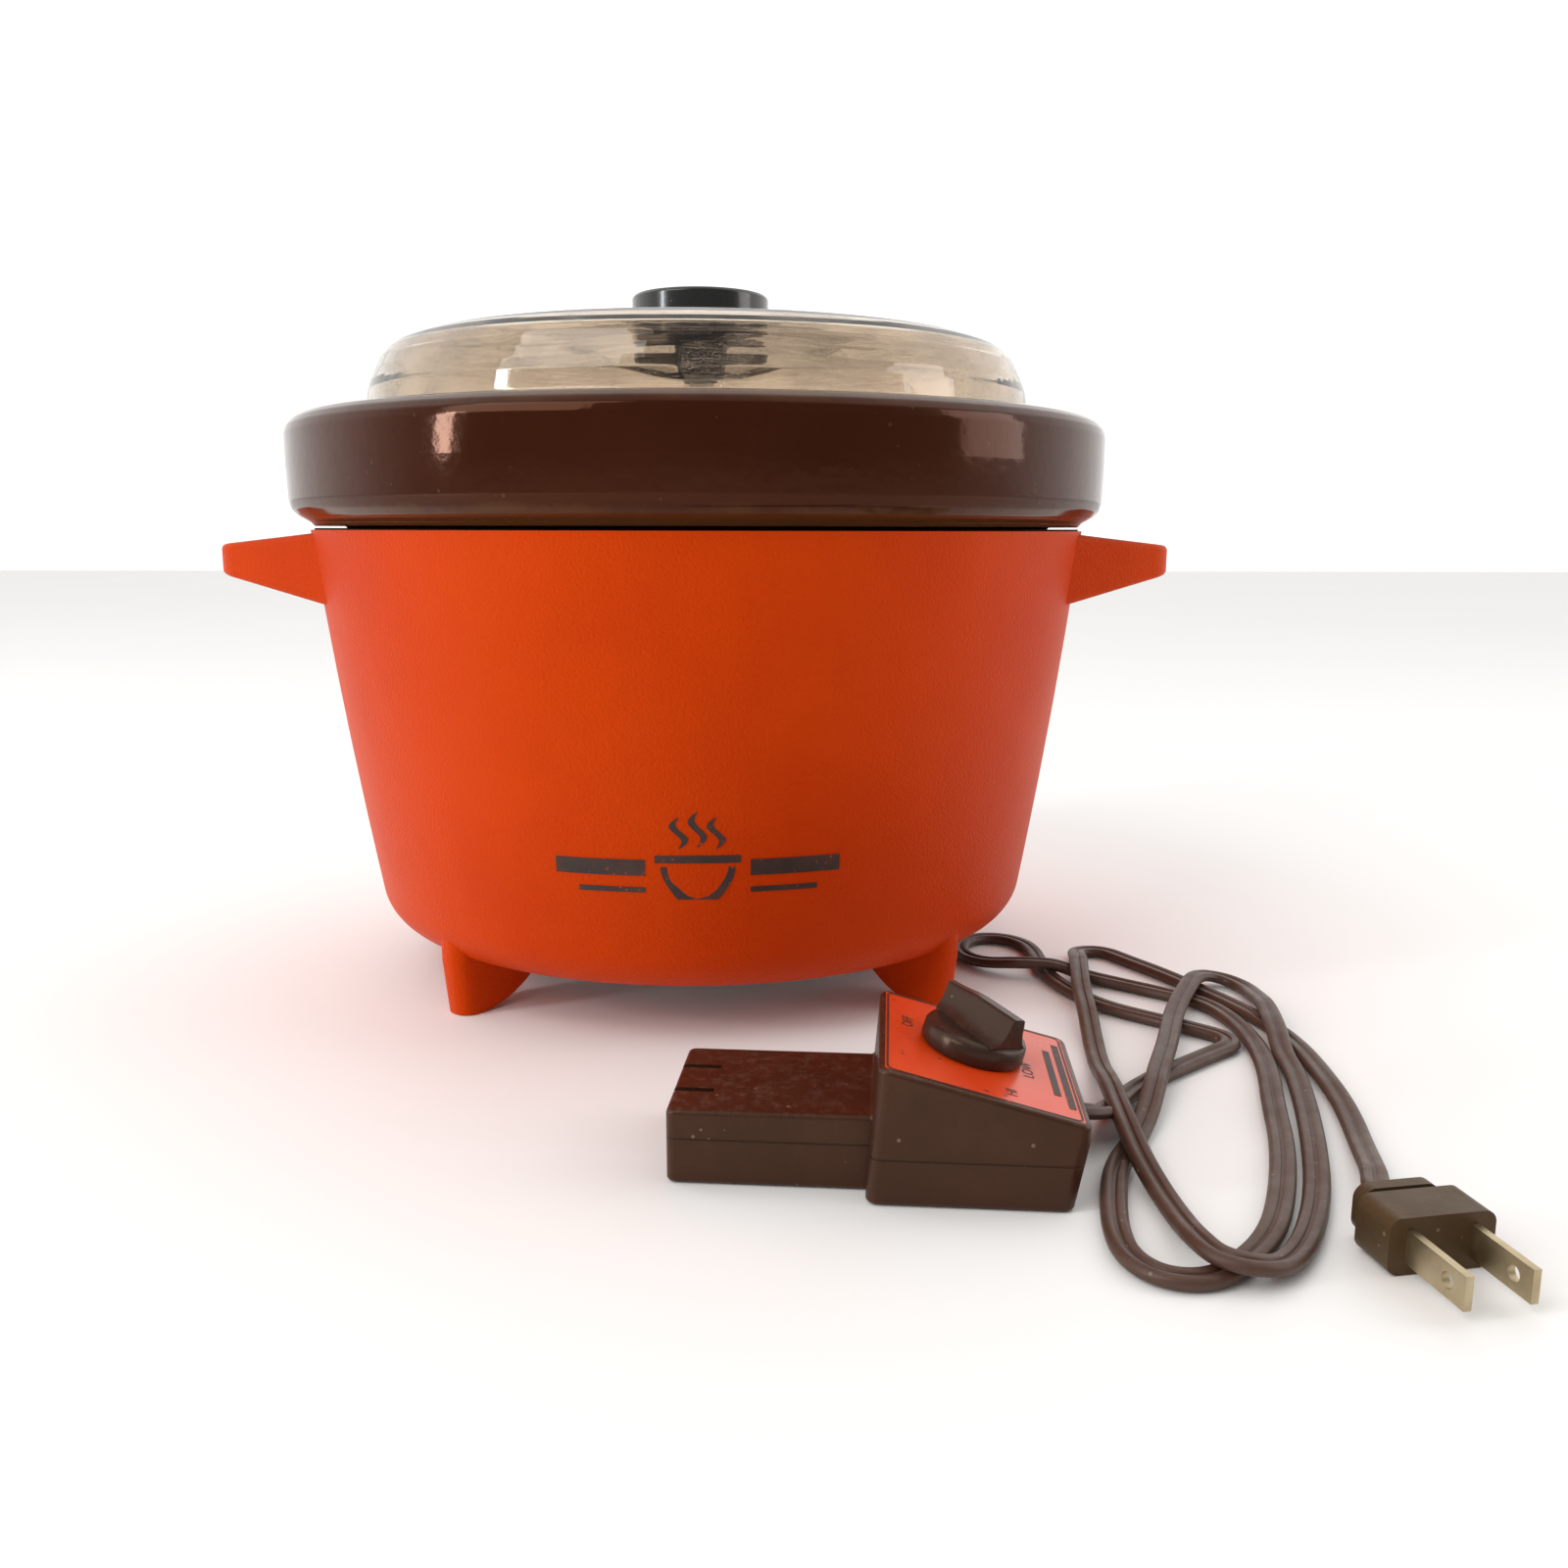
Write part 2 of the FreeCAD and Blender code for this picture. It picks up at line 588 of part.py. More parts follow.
def unit_base():
    """Lower half of the control unit, up to the parting line."""
    body = new_body("unit_base")
    slab(body, "XZ", [(0, 0), ("case_long", 0), (case_x(1, "parting"), "parting"),
                      (case_x(0, "parting"), "parting")], "2 * case_half")
    soften(body, 2.4, steep)
    box(body, ("-socket_long", "-socket_half", 0), ("socket_long + 2.5", "2 * socket_half", "parting"))
    soften(body, 1.8, lambda e: steep(e) and e.CenterOfMass.x < -20)
    soften(body, 1.0, lambda e: e.BoundBox.ZMax < 0.01)
    box(body, ("skin", "skin - case_half", "skin"),
        ("case_long - 2 * skin", "2 * (case_half - skin)", "parting"), cut=True)
    box(body, ("skin - socket_long", "skin - socket_half", "skin"),
        ("socket_long + 1", "2 * (socket_half - skin)", "parting"), cut=True)
    for x, y in BOSSES:
        drum(body, (x, y, 0.2), "boss_radius", "parting - 0.2")
    for x, y in BOSSES:
        drum(body, (x, y, -1), "boss_radius - 0.8", 3.2, cut=True)
        drum(body, (x, y, 0), 1.5, "parting + 1", cut=True)
    slits(body)
    cord_hole(body)
    return keep("unit_base", body, UNIT)


def unit_cover():
    """Upper half of the control unit, with the sloped top that carries the dial plate."""
    body = new_body("unit_cover")
    slab(body, "XZ", [
        (case_x(0, "parting"), "parting"), (case_x(1, "parting"), "parting"),
        ("case_long + case_flare", "flare_z"), ("case_long + case_flare", "case_low"),
        ("case_lean", "case_high")], "2 * case_half")
    soften(body, 2.4, steep)
    box(body, ("-socket_long", "-socket_half", "parting"),
        ("socket_long + 3.5", "2 * socket_half", "socket_tall - parting"))
    soften(body, 1.8, lambda e: steep(e) and e.CenterOfMass.x < -20)
    soften(body, 1.0, lambda e: e.BoundBox.ZMin > value("socket_tall") - 0.05
           and (e.BoundBox.ZMax < value("socket_tall") + 0.05 and e.BoundBox.XMax < 1.4
                or e.BoundBox.ZMax > value("case_low") - 0.5))
    slab(body, "XZ", [
        ("case_lean + 0.6", "parting - 1"), ("case_long - 0.4", "parting - 1"),
        ("case_long + case_flare - skin", "flare_z - 1"),
        ("case_long + case_flare - skin", "case_low - skin + 0.2"),
        ("case_lean + skin", "case_high - skin - 0.7")],
        "2 * (case_half - skin)", cut=True)
    box(body, ("skin - socket_long", "skin - socket_half", "parting - 1"),
        ("socket_long + 2", "2 * (socket_half - skin)", "socket_tall - skin - parting + 1"), cut=True)
    for x, y in BOSSES:
        top = "case_high - 4" if x == "boss_near" else "case_low"
        drum(body, (x, y, "parting"), "boss_radius - 0.4", f"{top} - parting")
        drum(body, (x, y, "parting - 1"), 1.2, 8, cut=True)
    box(body, ("plate_edge", "plate_edge - case_half + 0.5", "-plate_gauge"),
        (PLATE_LONG, "2 * (case_half - plate_edge - 0.5)", 2), cut=True, frame=TOP)
    drum(body, (0, 0, -6), "shaft_radius + 0.5", 8, cut=True, frame=DIAL)
    slits(body)
    cord_hole(body)
    return keep("unit_cover", body, UNIT)


PLATE_LONG = f"{value('case_high - case_low')} / {math.sin(math.radians(SLOPE))} - 2 * plate_edge"


def steep(edge):
    box_ = edge.BoundBox
    return box_.ZLength > 2.5 and box_.YLength < 0.3 and box_.XLength < 0.45 * box_.ZLength


def slits(body):
    """Two slits in the socket end that let the pins in."""
    for side in (-1, 1):
        box(body, ("-socket_long - 1", f"{side} * pin_pitch / 2 - slit_wide / 2", "slit_low"),
            ("slit_long + 1", "slit_wide", "socket_tall"), cut=True)


def cord_hole(body):
    drum(body, ("case_long - 2 * skin", "exit_y", "parting"), "exit_radius", "4 * skin",
         cut=True, axis=Vector(1, 0, 0))


def face_plate():
    """The coloured dial plate let into the sloped top."""
    body = new_body("face_plate")
    box(body, ("plate_edge + 0.1", "plate_edge - case_half + 0.6", "-plate_gauge"),
        (f"{PLATE_LONG} - 0.2", "2 * (case_half - plate_edge - 0.6)", "plate_gauge"), frame=TOP)
    drum(body, (0, 0, -3), "shaft_radius + 0.5", 6, cut=True, frame=DIAL)
    return keep("face_plate", body, UNIT)


def dial():
    """The rotary knob, a disc with a raised grip bar, and its shaft."""
    body = new_body("dial_knob")
    low, gap = 0.4, "dial_radius - 1.2"
    turned(body, [(0, low), ("dial_radius", low), ("dial_radius - 0.4", "dial_disc - 0.8"),
                  ("dial_radius - 1.4", "dial_disc"), (0, "dial_disc")])
    frame = Placement(Vector(), Rotation(Vector(0, 1, 0), value("dial_heading + 90")))
    slab(body, "XZ", [(-4.2, "dial_disc - 1"), (4.2, "dial_disc - 1"), (1.7, "dial_tall"),
                      (-1.7, "dial_tall")], "2 * dial_radius + 4", frame)
    soften(body, 0.6, lambda e: e.BoundBox.ZMin > value("dial_tall") - 0.05)
    turned(body, [("dial_radius - 0.4", "dial_disc - 0.8"), ("dial_radius + 6", "dial_disc - 0.8"),
                  ("dial_radius + 6", "dial_tall + 1"), (gap, "dial_tall + 1")], cut=True)
    drum(body, (0, 0, 0), "shaft_radius", 4.4, cut=True)
    keep("dial_knob", body, UNIT.multiply(DIAL))

    shaft = make("Cylinder", Radius="shaft_radius", Height=13.4)
    keep("dial_shaft", shaft, UNIT.multiply(DIAL).multiply(at(0, 0, -9)))

    body = new_body("switch_body")
    box(body, (-8, -8.5, -12.5), (16, 17, 9.6))
    drum(body, (0, 0, -9.1), "shaft_radius + shaft_clear", 8, cut=True)
    keep("switch_body", body, UNIT.multiply(DIAL))


def unit_insides():
    """Contact clips, wires, the clamp on the lead and the case screws."""
    clips = []
    for side in (-1, 1):
        outer = make("Box", Length=15, Width=4.4, Height=7.2)
        outer.Placement = at(-31, f"{side} * pin_pitch / 2 - 2.2", 3.6)
        inner = make("Box", Length=13, Width="slit_wide", Height=8)
        inner.Placement = at(-31.5, f"{side} * pin_pitch / 2 - slit_wide / 2", 3)
        clip = doc.addObject("Part::Cut", "clip")
        clip.Base, clip.Tool = outer, inner
        clips.append(clip)
    group("contact_clips", clips, UNIT)

    body = new_body("cord_clamp")
    box(body, ("case_long - 9", "exit_y - 4.5", "skin"), (4, 9, "parting + 3.2 - skin"))
    keep("cord_clamp", body, UNIT)

    routes = (
        [(-16, -6.35, 6), (-8, -6.4, 5.4), (4, -7.2, 4.8), (15, -8.4, 4.6), (23, -4.6, 5),
         (27.4, 1, 5.9), (31.6, 1, 6)],
        [(-16, 6.35, 6), (-8, 6.5, 5.4), (4, 8, 4.8), (15, 10.6, 4.6), (22.5, 9.6, 5),
         (27.4, 6, 5.9), (31.6, 6, 6)])
    wires = []
    for route in routes:
        wire = doc.addObject("Part::Feature", "unit_lead")
        wire.Shape = tube([Vector(*p) for p in route], 1.1)[0]
        wires.append(wire)
    group("unit_leads", wires, UNIT)
    group("case_screws", [
        screw(Vector(value(x), value(y), 0.5), 2.4, 1.7, 1.2, 12) for x, y in BOSSES], UNIT)


# ---------------------------------------------------------------- lead and plug

# the lead's route, from the clamp in the control unit over the table to the plug
ROUTE = [
    (72.95, -157.85, 9.6), (84.87, -159.27, 9.6), (91.5, -145.5, 3.2), (104.5, -127.5, 2.8),
    (118, -116.5, 2.8), (128.5, -108.3, 2.8), (136, -103, 2.8), (136.2, -97.3, 2.8),
    (131, -91.5, 2.8), (121.5, -83, 2.8), (110.5, -72.5, 2.8), (104.2, -58.5, 2.8),
    # the small loop beside the cooker's right foot
    (101.2, -43.5, 2.8), (102, -31.5, 2.8), (102.4, -22, 2.8), (101, -14.5, 2.8),
    (96.8, -9, 2.8), (91, -7, 2.8), (85.2, -9, 2.8), (81, -14.5, 2.8), (79.5, -22, 2.8),
    (81, -29.5, 3.2), (85.2, -36, 4.6), (91.5, -41, 8), (97.5, -43.3, 8.9),
    (104.5, -44.9, 8.8), (111.5, -46.9, 3.4),
    # the inner turn of the big loop
    (121, -54, 2.8), (131.5, -63.2, 2.8), (140, -71.5, 2.8), (142.8, -85, 2.8),
    (142.4, -102, 2.8), (138.6, -120, 2.8), (132, -139.5, 2.8), (125.8, -160.5, 2.8),
    (117, -182, 2.8), (108.8, -197.5, 2.8), (98.5, -208.5, 2.8), (91, -213, 2.8),
    (83.5, -211.5, 2.8), (79.6, -205, 2.8), (79.8, -195.5, 2.8), (82.6, -183.5, 2.8),
    (87, -169.5, 2.8), (94.4, -157.5, 2.8), (101, -145.4, 4.6), (106.2, -133.6, 8.6),
    (111.6, -121, 8.8), (117.9, -106.8, 8.4), (124, -91, 8.7), (130.2, -77.5, 8.5),
    (136.3, -66.2, 8.7), (141.3, -57.2, 8.7), (146.8, -51.6, 6), (153, -52.2, 3.4),
    # the outer turn
    (156, -58.6, 2.8), (155.2, -68.5, 4.6), (153, -80.5, 8.6), (149, -98, 8.6),
    (146.2, -109.5, 3.4), (144.6, -121.5, 2.8), (139.2, -140.5, 2.8), (132.2, -161.5, 2.8),
    (124.4, -181.5, 2.8), (116, -197.5, 2.8), (107.5, -209, 4.2), (100.5, -213.6, 8.2),
    (94, -210.8, 8.9), (92.4, -203.2, 8.3), (93, -193.5, 4.4), (93, -180.5, 3.4),
    # back over everything, round the top corner and away to the plug
    (92.2, -168.5, 7.6), (93, -157.5, 9.4), (94.2, -145.5, 9.8), (96, -132.5, 8.8),
    (98.2, -115, 2.8), (101.3, -97, 3.2), (103.9, -81.5, 7.4), (106, -67, 9.4),
    (108.8, -53.5, 11.6), (111.8, -40.5, 11), (114, -31.2, 5.4), (115.6, -23.2, 2.9),
    (124.2, -22.6, 2.8), (129.3, -32.8, 2.8), (136, -45.5, 2.8), (141.8, -59.5, 2.8),
    (147.5, -74, 2.8), (151.3, -88.5, 2.8), (152.6, -104, 2.8), (151.2, -120.5, 2.8),
    (148.8, -137, 2.8), (145.9, -149.5, 2.8), (142.9, -160, 2.9), (139.7, -170.5, 3.8),
    (136.1, -180.5, 5), (132.1, -189.05, 5.5), (132.8, -194, 5.5),
]


def power_lead():
    points = [Vector(*p) for p in ROUTE]
    solid, wire, radii = tube(points, value("lead_wide / 2"))
    lead = doc.addObject("Part::Feature", "power_lead_tube")
    lead.Shape = solid
    expected = math.pi * value("lead_wide / 2") ** 2 * wire.Length
    print(f"lead {wire.Length:.0f} mm, volume {solid.Volume / expected:.4f} of expected")
    print("lead radii", [round(r, 1) for r in radii])
    keep("power_lead", lead)


def plug():
    """A flat moulded plug: finger plate, waist and body, with two flat blades."""
    body = new_body("plug_body")
    box(body, (0, -8.2, 0.6), (2.8, 16.4, "plug_tall - 1.2"))
    soften(body, 3.0, lambda e: e.BoundBox.XLength > 2.7)
    box(body, (1, -6.4, 1.8), (6, 12.8, "plug_tall - 3.4"))
    box(body, (5.0, "-plug_half", 0), ("plug_long - 5", "2 * plug_half", "plug_tall"))
    soften(body, 2.4, lambda e: e.BoundBox.XLength > 8 and abs(e.CenterOfMass.y) > 8.5)
    for side in (-1, 1):
        blade_box(body, side)
    keep("plug_body", body, PLUG)

    blades = []
    for side in (-1, 1):
        blade = make("Box", Length="blade_long + 9", Width="blade_thick", Height="blade_tall")
        blade.Placement = at("plug_long - 9", f"{side} * blade_pitch / 2 - blade_thick / 2",
                             "plug_tall / 2 - blade_tall / 2")
        hole = make("Cylinder", Radius=1.5, Height=4)
        hole.Placement = at("plug_long + blade_long - 4.6",
                            f"{side} * blade_pitch / 2 + 2", "plug_tall / 2", Vector(0, -1, 0))
        cut = doc.addObject("Part::Cut", "blade")
        cut.Base, cut.Tool = blade, hole
        blades.append(cut)
    group("plug_blades", blades, PLUG)


def blade_box(body, side):
    box(body, ("plug_long - 9", f"{side} * blade_pitch / 2 - blade_thick / 2",
               "plug_tall / 2 - blade_tall / 2"), (12, "blade_thick", "blade_tall"), cut=True)


# ---------------------------------------------------------------- build and write

def check():
    """Stop if any object failed or any node's shape is bad."""
    for thing in doc.Objects:
        if "Invalid" in thing.State or "Error" in thing.State:
            raise RuntimeError(f"{thing.Name} ({thing.TypeId}) failed: {thing.State}")
    for name, thing in parts.items():
        shape = thing.Shape
        if shape.isNull() or not shape.isValid():
            raise RuntimeError(f"{name}: bad shape")
        print(f"{name}: {len(shape.Solids)} solid(s), {shape.Volume / 1000:.2f} cm3")


housing()
bottom_cover()
heater_pan()
sleeve("heater_band", "heater_low", "heater_high", 0.05, "heater_gauge")
sleeve("heat_wrap", "wrap_low", "wrap_high", "wrap_near", "wrap_far")
posts()
inlet()
crock()
lid()
lid_knob()
unit_base()
unit_cover()
face_plate()
dial()
unit_insides()
plug()
power_lead()
doc.recompute()
check()
os.makedirs("parts", exist_ok=True)
for name, thing in parts.items():
    thing.Shape.exportStep(f"parts/{name}.step")
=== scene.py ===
# %% [markdown]
# # A round slow cooker and its loose control unit
#
# The cooker is a round plastic housing on four fin-like feet.  A heavy glazed crock lifts
# out of it, and a clear domed lid rests on the crock.  The control unit is a separate
# piece: a socket end, a sloped case with a dial, and a flat twin lead that ends in a plug.
#
# The exact shapes come from the CAD frame.  This script gives every piece its surface,
# turns the pieces whose curves matter most on a lathe of its own, lays the soft lead on
# the table, prints the small marks, and sets the camera and the lights.
#
# Lengths in the tables below are millimetres; `MM` turns them into metres.  They are drawn
# about the cooker's axis, and `AXIS` then sets them back to where the axis really is, as
# the origin is at the middle of the cooker and its control unit together.

# %% Load the frame
import math
import bpy
from mathutils import Matrix, Vector, noise


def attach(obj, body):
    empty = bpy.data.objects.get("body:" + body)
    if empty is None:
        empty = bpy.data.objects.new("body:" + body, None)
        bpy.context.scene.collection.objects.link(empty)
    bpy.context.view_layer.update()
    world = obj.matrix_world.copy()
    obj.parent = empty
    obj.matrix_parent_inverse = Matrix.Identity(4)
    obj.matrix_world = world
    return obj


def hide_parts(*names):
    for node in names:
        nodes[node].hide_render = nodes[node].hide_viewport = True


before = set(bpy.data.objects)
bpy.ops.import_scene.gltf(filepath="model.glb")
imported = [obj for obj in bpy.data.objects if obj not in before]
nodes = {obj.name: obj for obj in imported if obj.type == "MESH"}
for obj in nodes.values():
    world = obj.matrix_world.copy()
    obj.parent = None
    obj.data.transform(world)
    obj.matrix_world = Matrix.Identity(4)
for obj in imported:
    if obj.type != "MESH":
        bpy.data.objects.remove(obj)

MM = 0.001
AXIS = Vector((0, 0.0329, 0))      # the cooker's axis; the outlines below are drawn about it
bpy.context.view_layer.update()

# %% [markdown]
# ## Camera
#
# The eye is close, a little above the rim of the housing, and looks down by about ten
# degrees.  A short lens that close makes the nearer things - the control unit and the
# plug - look large against the cooker, which is right for a view from across a table.
#
# The plain "Standard" view of colour keeps the saturated orange and lets a white table
# come out white; the softer default would turn the orange toward salmon.

# %% Camera
lens = bpy.data.cameras.new("eye")
lens.sensor_width = 36
lens.lens = 31.5
lens.clip_start = 0.01
eye = bpy.data.objects.new("eye", lens)
eye.location = Vector((7.58, -430.5, 131)) * MM + AXIS
eye.rotation_euler = (math.radians(79.48), math.radians(-0.12), math.radians(-2.34))
bpy.context.collection.objects.link(eye)
bpy.context.scene.camera = eye
bpy.context.scene.view_settings.view_transform = "Standard"
print("camera at", [round(v, 4) for v in eye.location])

# %% [markdown]
# ## Small tools for building meshes
#
# `add_mesh` makes an object from points and faces.  `lathe` turns an outline about the
# vertical axis; because it has its own number of steps, a turned piece is as smooth as
# the view needs.  Both shade smoothly, and `tidy_mesh`, which `lathe` calls, keeps hard
# edges where faces meet at a steep angle.

# %% Mesh tools
def add_mesh(name, points, faces, smooth=True):
    mesh = bpy.data.meshes.new(name)
    mesh.from_pydata([tuple(Vector(p) + AXIS) for p in points], [], faces)
    mesh.validate()
    mesh.polygons.foreach_set("use_smooth", [smooth] * len(mesh.polygons))
    piece = bpy.data.objects.new(name, mesh)
    bpy.context.collection.objects.link(piece)
    return piece


def rounded(outline, radii, steps=6):
    """The outline with each corner replaced by an arc of its radius."""
    path = []
    for i, here in enumerate(outline):
        here, radius = Vector(here), radii.get(i, 0)
        if not radius or i in (0, len(outline) - 1):
            path.append(here)
            continue
        before, after = Vector(outline[i - 1]) - here, Vector(outline[i + 1]) - here
        turn = math.pi - before.angle(after)
        reach = min(radius * math.tan(turn / 2), 0.49 * before.length, 0.49 * after.length)
        start, end = here + before.normalized() * reach, here + after.normalized() * reach
        for k in range(steps + 1):
            t = k / steps
            path.append(start * (1 - t) ** 2 + here * 2 * t * (1 - t) + end * t * t)
    return path


def lathe(name, outline, radii={}, steps=180, wobble=None):
    """Turn (radius, height) points, in millimetres, about the vertical axis."""
    path = rounded(outline, radii)
    points, faces = [], []
    for k in range(steps):
        a = 2 * math.pi * k / steps
        for r, z in path:
            push = wobble(a, r, z) if wobble else 0
            points.append(Vector(((r + push) * math.cos(a), (r + push) * math.sin(a), z)) * MM)
    n = len(path)
    for k in range(steps):
        for i in range(n - 1):
            a, b = k * n + i, (k + 1) % steps * n + i
            faces.append((a, b, b + 1, a + 1))
    piece = add_mesh(name, points, faces)
    tidy_mesh(piece)
    return piece


def tidy_mesh(piece, sharp=38):
    """Weld doubled points, turn all faces outward and mark the steep edges as hard."""
    import bmesh
    work = bmesh.new()
    work.from_mesh(piece.data)
    bmesh.ops.remove_doubles(work, verts=work.verts, dist=1e-6)
    bmesh.ops.recalc_face_normals(work, faces=work.faces)
    limit = math.radians(sharp)
    for edge in work.edges:
        edge.smooth = len(edge.link_faces) != 2 or edge.calc_face_angle(0) < limit
    work.to_mesh(piece.data)
    work.free()


print("mesh tools ready")

# %% [markdown]
# ## Power lead
#
# The lead is a flat twin: two round cores side by side in one brown skin, with fine ribs
# along one core so that a hand can tell them apart.  It lies limp on the table in a long
# narrow loop, folds back on itself beside the control unit, and ends in the plug.
#
# It could be a bevelled curve, but a bevel can't have ribs on one side only.  So the route
# is read from a smooth curve, and a figure-eight outline is swept along it.  The width
# stays level, as a flat lead's does when it lies on a table.

# %% Lead route
ROUTE = [
    (72.95, -157.85, 9.6), (84.87, -159.27, 9.4), (91.5, -145.5, 3.0), (104.5, -127.5, 1.6),
    (118, -116.5, 1.5), (128.5, -108.3, 1.5), (136, -103, 1.5), (136.2, -97.3, 1.5),
    (131, -91.5, 1.5), (121.5, -83, 1.5), (110.5, -72.5, 1.5), (104.2, -58.5, 1.5),
    (101.2, -43.5, 1.5), (102, -31.5, 1.5), (102.4, -22, 1.5), (101, -14.5, 1.5),
    (96.8, -9, 1.5), (91, -7, 1.5), (85.2, -9, 1.5), (81, -14.5, 1.5), (79.5, -22, 1.5),
    (81, -29.5, 1.7), (85.2, -36, 2.5), (91.5, -41, 4.1), (97.5, -43.3, 4.7),
    (104.5, -44.9, 4.6), (111.5, -46.9, 1.9), (121, -54, 1.5), (131.5, -63.2, 1.5),
    (140, -71.5, 1.5), (142.8, -85, 1.5), (142.4, -102, 1.5), (138.6, -120, 1.5),
    (132, -139.5, 1.5), (125.8, -160.5, 1.5), (117, -182, 1.5), (108.8, -197.5, 1.5),
    (98.5, -208.5, 1.5), (91, -213, 1.5), (83.5, -211.5, 1.5), (79.6, -205, 1.5),
    (79.8, -195.5, 1.5), (82.6, -183.5, 1.5), (87, -169.5, 1.5), (94.4, -157.5, 1.5),
    (101, -145.4, 2.6), (106.2, -133.6, 4.5), (111.6, -121, 4.6), (117.9, -106.8, 4.4),
    (124, -91, 4.5), (130.2, -77.5, 4.4), (136.3, -66.2, 4.5), (141.3, -57.2, 4.5),
    (146.8, -51.6, 3.1), (153, -52.2, 1.8), (156, -58.6, 1.5), (155.2, -68.5, 2.4),
    (153, -80.5, 4.5), (149, -98, 4.5), (146.2, -109.5, 1.9), (144.6, -121.5, 1.5),
    (139.2, -140.5, 1.5), (132.2, -161.5, 1.5), (124.4, -181.5, 1.5), (116, -197.5, 1.5),
    (107.5, -209, 2.2), (100.5, -213.6, 4.3), (94, -210.8, 4.6), (92.4, -203.2, 4.3),
    (93, -193.5, 2.3), (93, -180.5, 1.8), (92.2, -168.5, 4.0), (93, -157.5, 4.9),
    (94.2, -145.5, 5.1), (96, -132.5, 4.6), (98.2, -115, 1.5), (101.3, -97, 1.7),
    (103.9, -81.5, 3.9), (106, -67, 4.9), (108.8, -53.5, 6.0), (111.8, -40.5, 5.7),
    (114, -31.2, 2.8), (115.6, -23.2, 1.6), (124.2, -22.6, 1.5), (129.3, -32.8, 1.5),
    (136, -45.5, 1.5), (141.8, -59.5, 1.5), (147.5, -74, 1.5), (151.3, -88.5, 1.5),
    (152.6, -104, 1.5), (151.2, -120.5, 1.5), (148.8, -137, 1.5), (145.9, -149.5, 1.5),
    (142.9, -160, 1.6), (139.7, -170.5, 2.6), (136.1, -180.5, 4.6), (132.1, -189.05, 5.5),
    (132.8, -194, 5.5),
]


def smooth_path(name, points, steps=14):
    """Read the points of a smooth curve that follows the control points."""
    curve = bpy.data.curves.new(name, "CURVE")
    curve.dimensions = "3D"
    spline = curve.splines.new("NURBS")
    spline.points.add(len(points) - 1)
    for spot, place in zip(spline.points, points):
        spot.co = (*(Vector(place) * MM), 1)
    spline.order_u = 3
    spline.use_endpoint_u = True
    spline.resolution_u = steps
    guide = bpy.data.objects.new(name, curve)
    bpy.context.collection.objects.link(guide)
    bpy.context.view_layer.update()
    mesh = bpy.data.meshes.new_from_object(guide)
    path = [v.co.copy() for v in mesh.vertices]
    bpy.data.objects.remove(guide)
    bpy.data.meshes.remove(mesh)
    return path


lead_path = smooth_path("lead_route", ROUTE)

# %% Lead skin
def twin_outline(wide=5.4, tall=2.8, count=22):
    """A figure eight: one core smooth, the other with fine ribs along it."""
    core, shift = tall / 2, (wide - tall) / 2
    waist = math.acos(min(1, (shift - 0.18) / core))
    outline = []
    for side in (1, -1):
        for k in range(count + 1):
            a = -math.pi + waist + (2 * math.pi - 2 * waist) * k / count
            rib = 0.07 * (1 - math.cos(a * 22)) if side < 0 else 0
            r = core - rib
            outline.append(Vector((side * (shift + r * math.cos(a)), side * r * math.sin(a))) * MM)
    return outline


def sweep(name, path, outline, lean=None):
    """Carry an outline along a path, its first axis level and its second upright."""
    points, faces, n = [], [], len(outline)
    for i, here in enumerate(path):
        ahead = (path[min(i + 1, len(path) - 1)] - path[max(i - 1, 0)]).normalized()
        level = Vector((0, 0, 1)).cross(ahead).normalized()
        up = ahead.cross(level)
        roll = lean(i / (len(path) - 1), here) if lean else 0
        c, s = math.cos(roll), math.sin(roll)
        for q in outline:
            points.append(here + level * (q.x * c - q.y * s) + up * (q.x * s + q.y * c))
    for i in range(len(path) - 1):
        for k in range(n):
            a, b = i * n + k, i * n + (k + 1) % n
            faces.append((a, b, b + n, a + n))
    faces += [tuple(range(n))[::-1], tuple(range(len(points) - n, len(points)))]
    piece = add_mesh(name, points, faces)
    tidy_mesh(piece, sharp=60)
    return piece


lead = sweep("flat_twin_lead", lead_path, twin_outline())
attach(lead, "unit")
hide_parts("power_lead")
print("lead skin", len(lead.data.vertices), "points")

# %% [markdown]
# ## Crock and lid
#
# Both are turned shapes.  The crock is thick stoneware with a straight, slightly bulging
# band and a soft rolled rim.  A thrown and glazed wall is never quite even, so its radius
# wavers by a fraction of a millimetre, and the waver bends the reflections.
#
# The lid is a clear shallow dome with its middle pressed down into a dish for the knob.
# It is a closed shell with real thickness, so light bends at both of its faces.

# %% Crock
def hand_made(a, r, z):
    wave = noise.noise(Vector((math.cos(a) * 2.2, math.sin(a) * 2.2, z * 0.03)))
    return 0.16 * wave


crock = lathe("glazed_crock", [
    (0.01, 44.5), (93.2, 44.5), (104.4, 131.6), (113.2, 131.6), (114.2, 132.7), (117.2, 134.4),
    (119, 136.2), (119.7, 138.5), (120, 148), (120, 156.6), (119.5, 158.5), (118.1, 160.2),
    (116, 161.4), (113.5, 162), (110.5, 161.6), (108.4, 160.2), (107.6, 157.6), (101, 157.6),
    (97.4, 154.5), (86.6, 56), (80, 53), (0.01, 53)],
    {1: 9, 2: 1, 3: 0.6, 4: 1, 5: 2, 6: 2, 7: 4, 8: 12, 9: 4, 10: 2, 11: 3, 12: 3, 13: 3,
     14: 3, 15: 2, 16: 1, 17: 1.5, 18: 2, 19: 12, 20: 8}, steps=240, wobble=hand_made)
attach(crock, "crock")
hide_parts("crock")
print("crock", len(crock.data.vertices), "points")

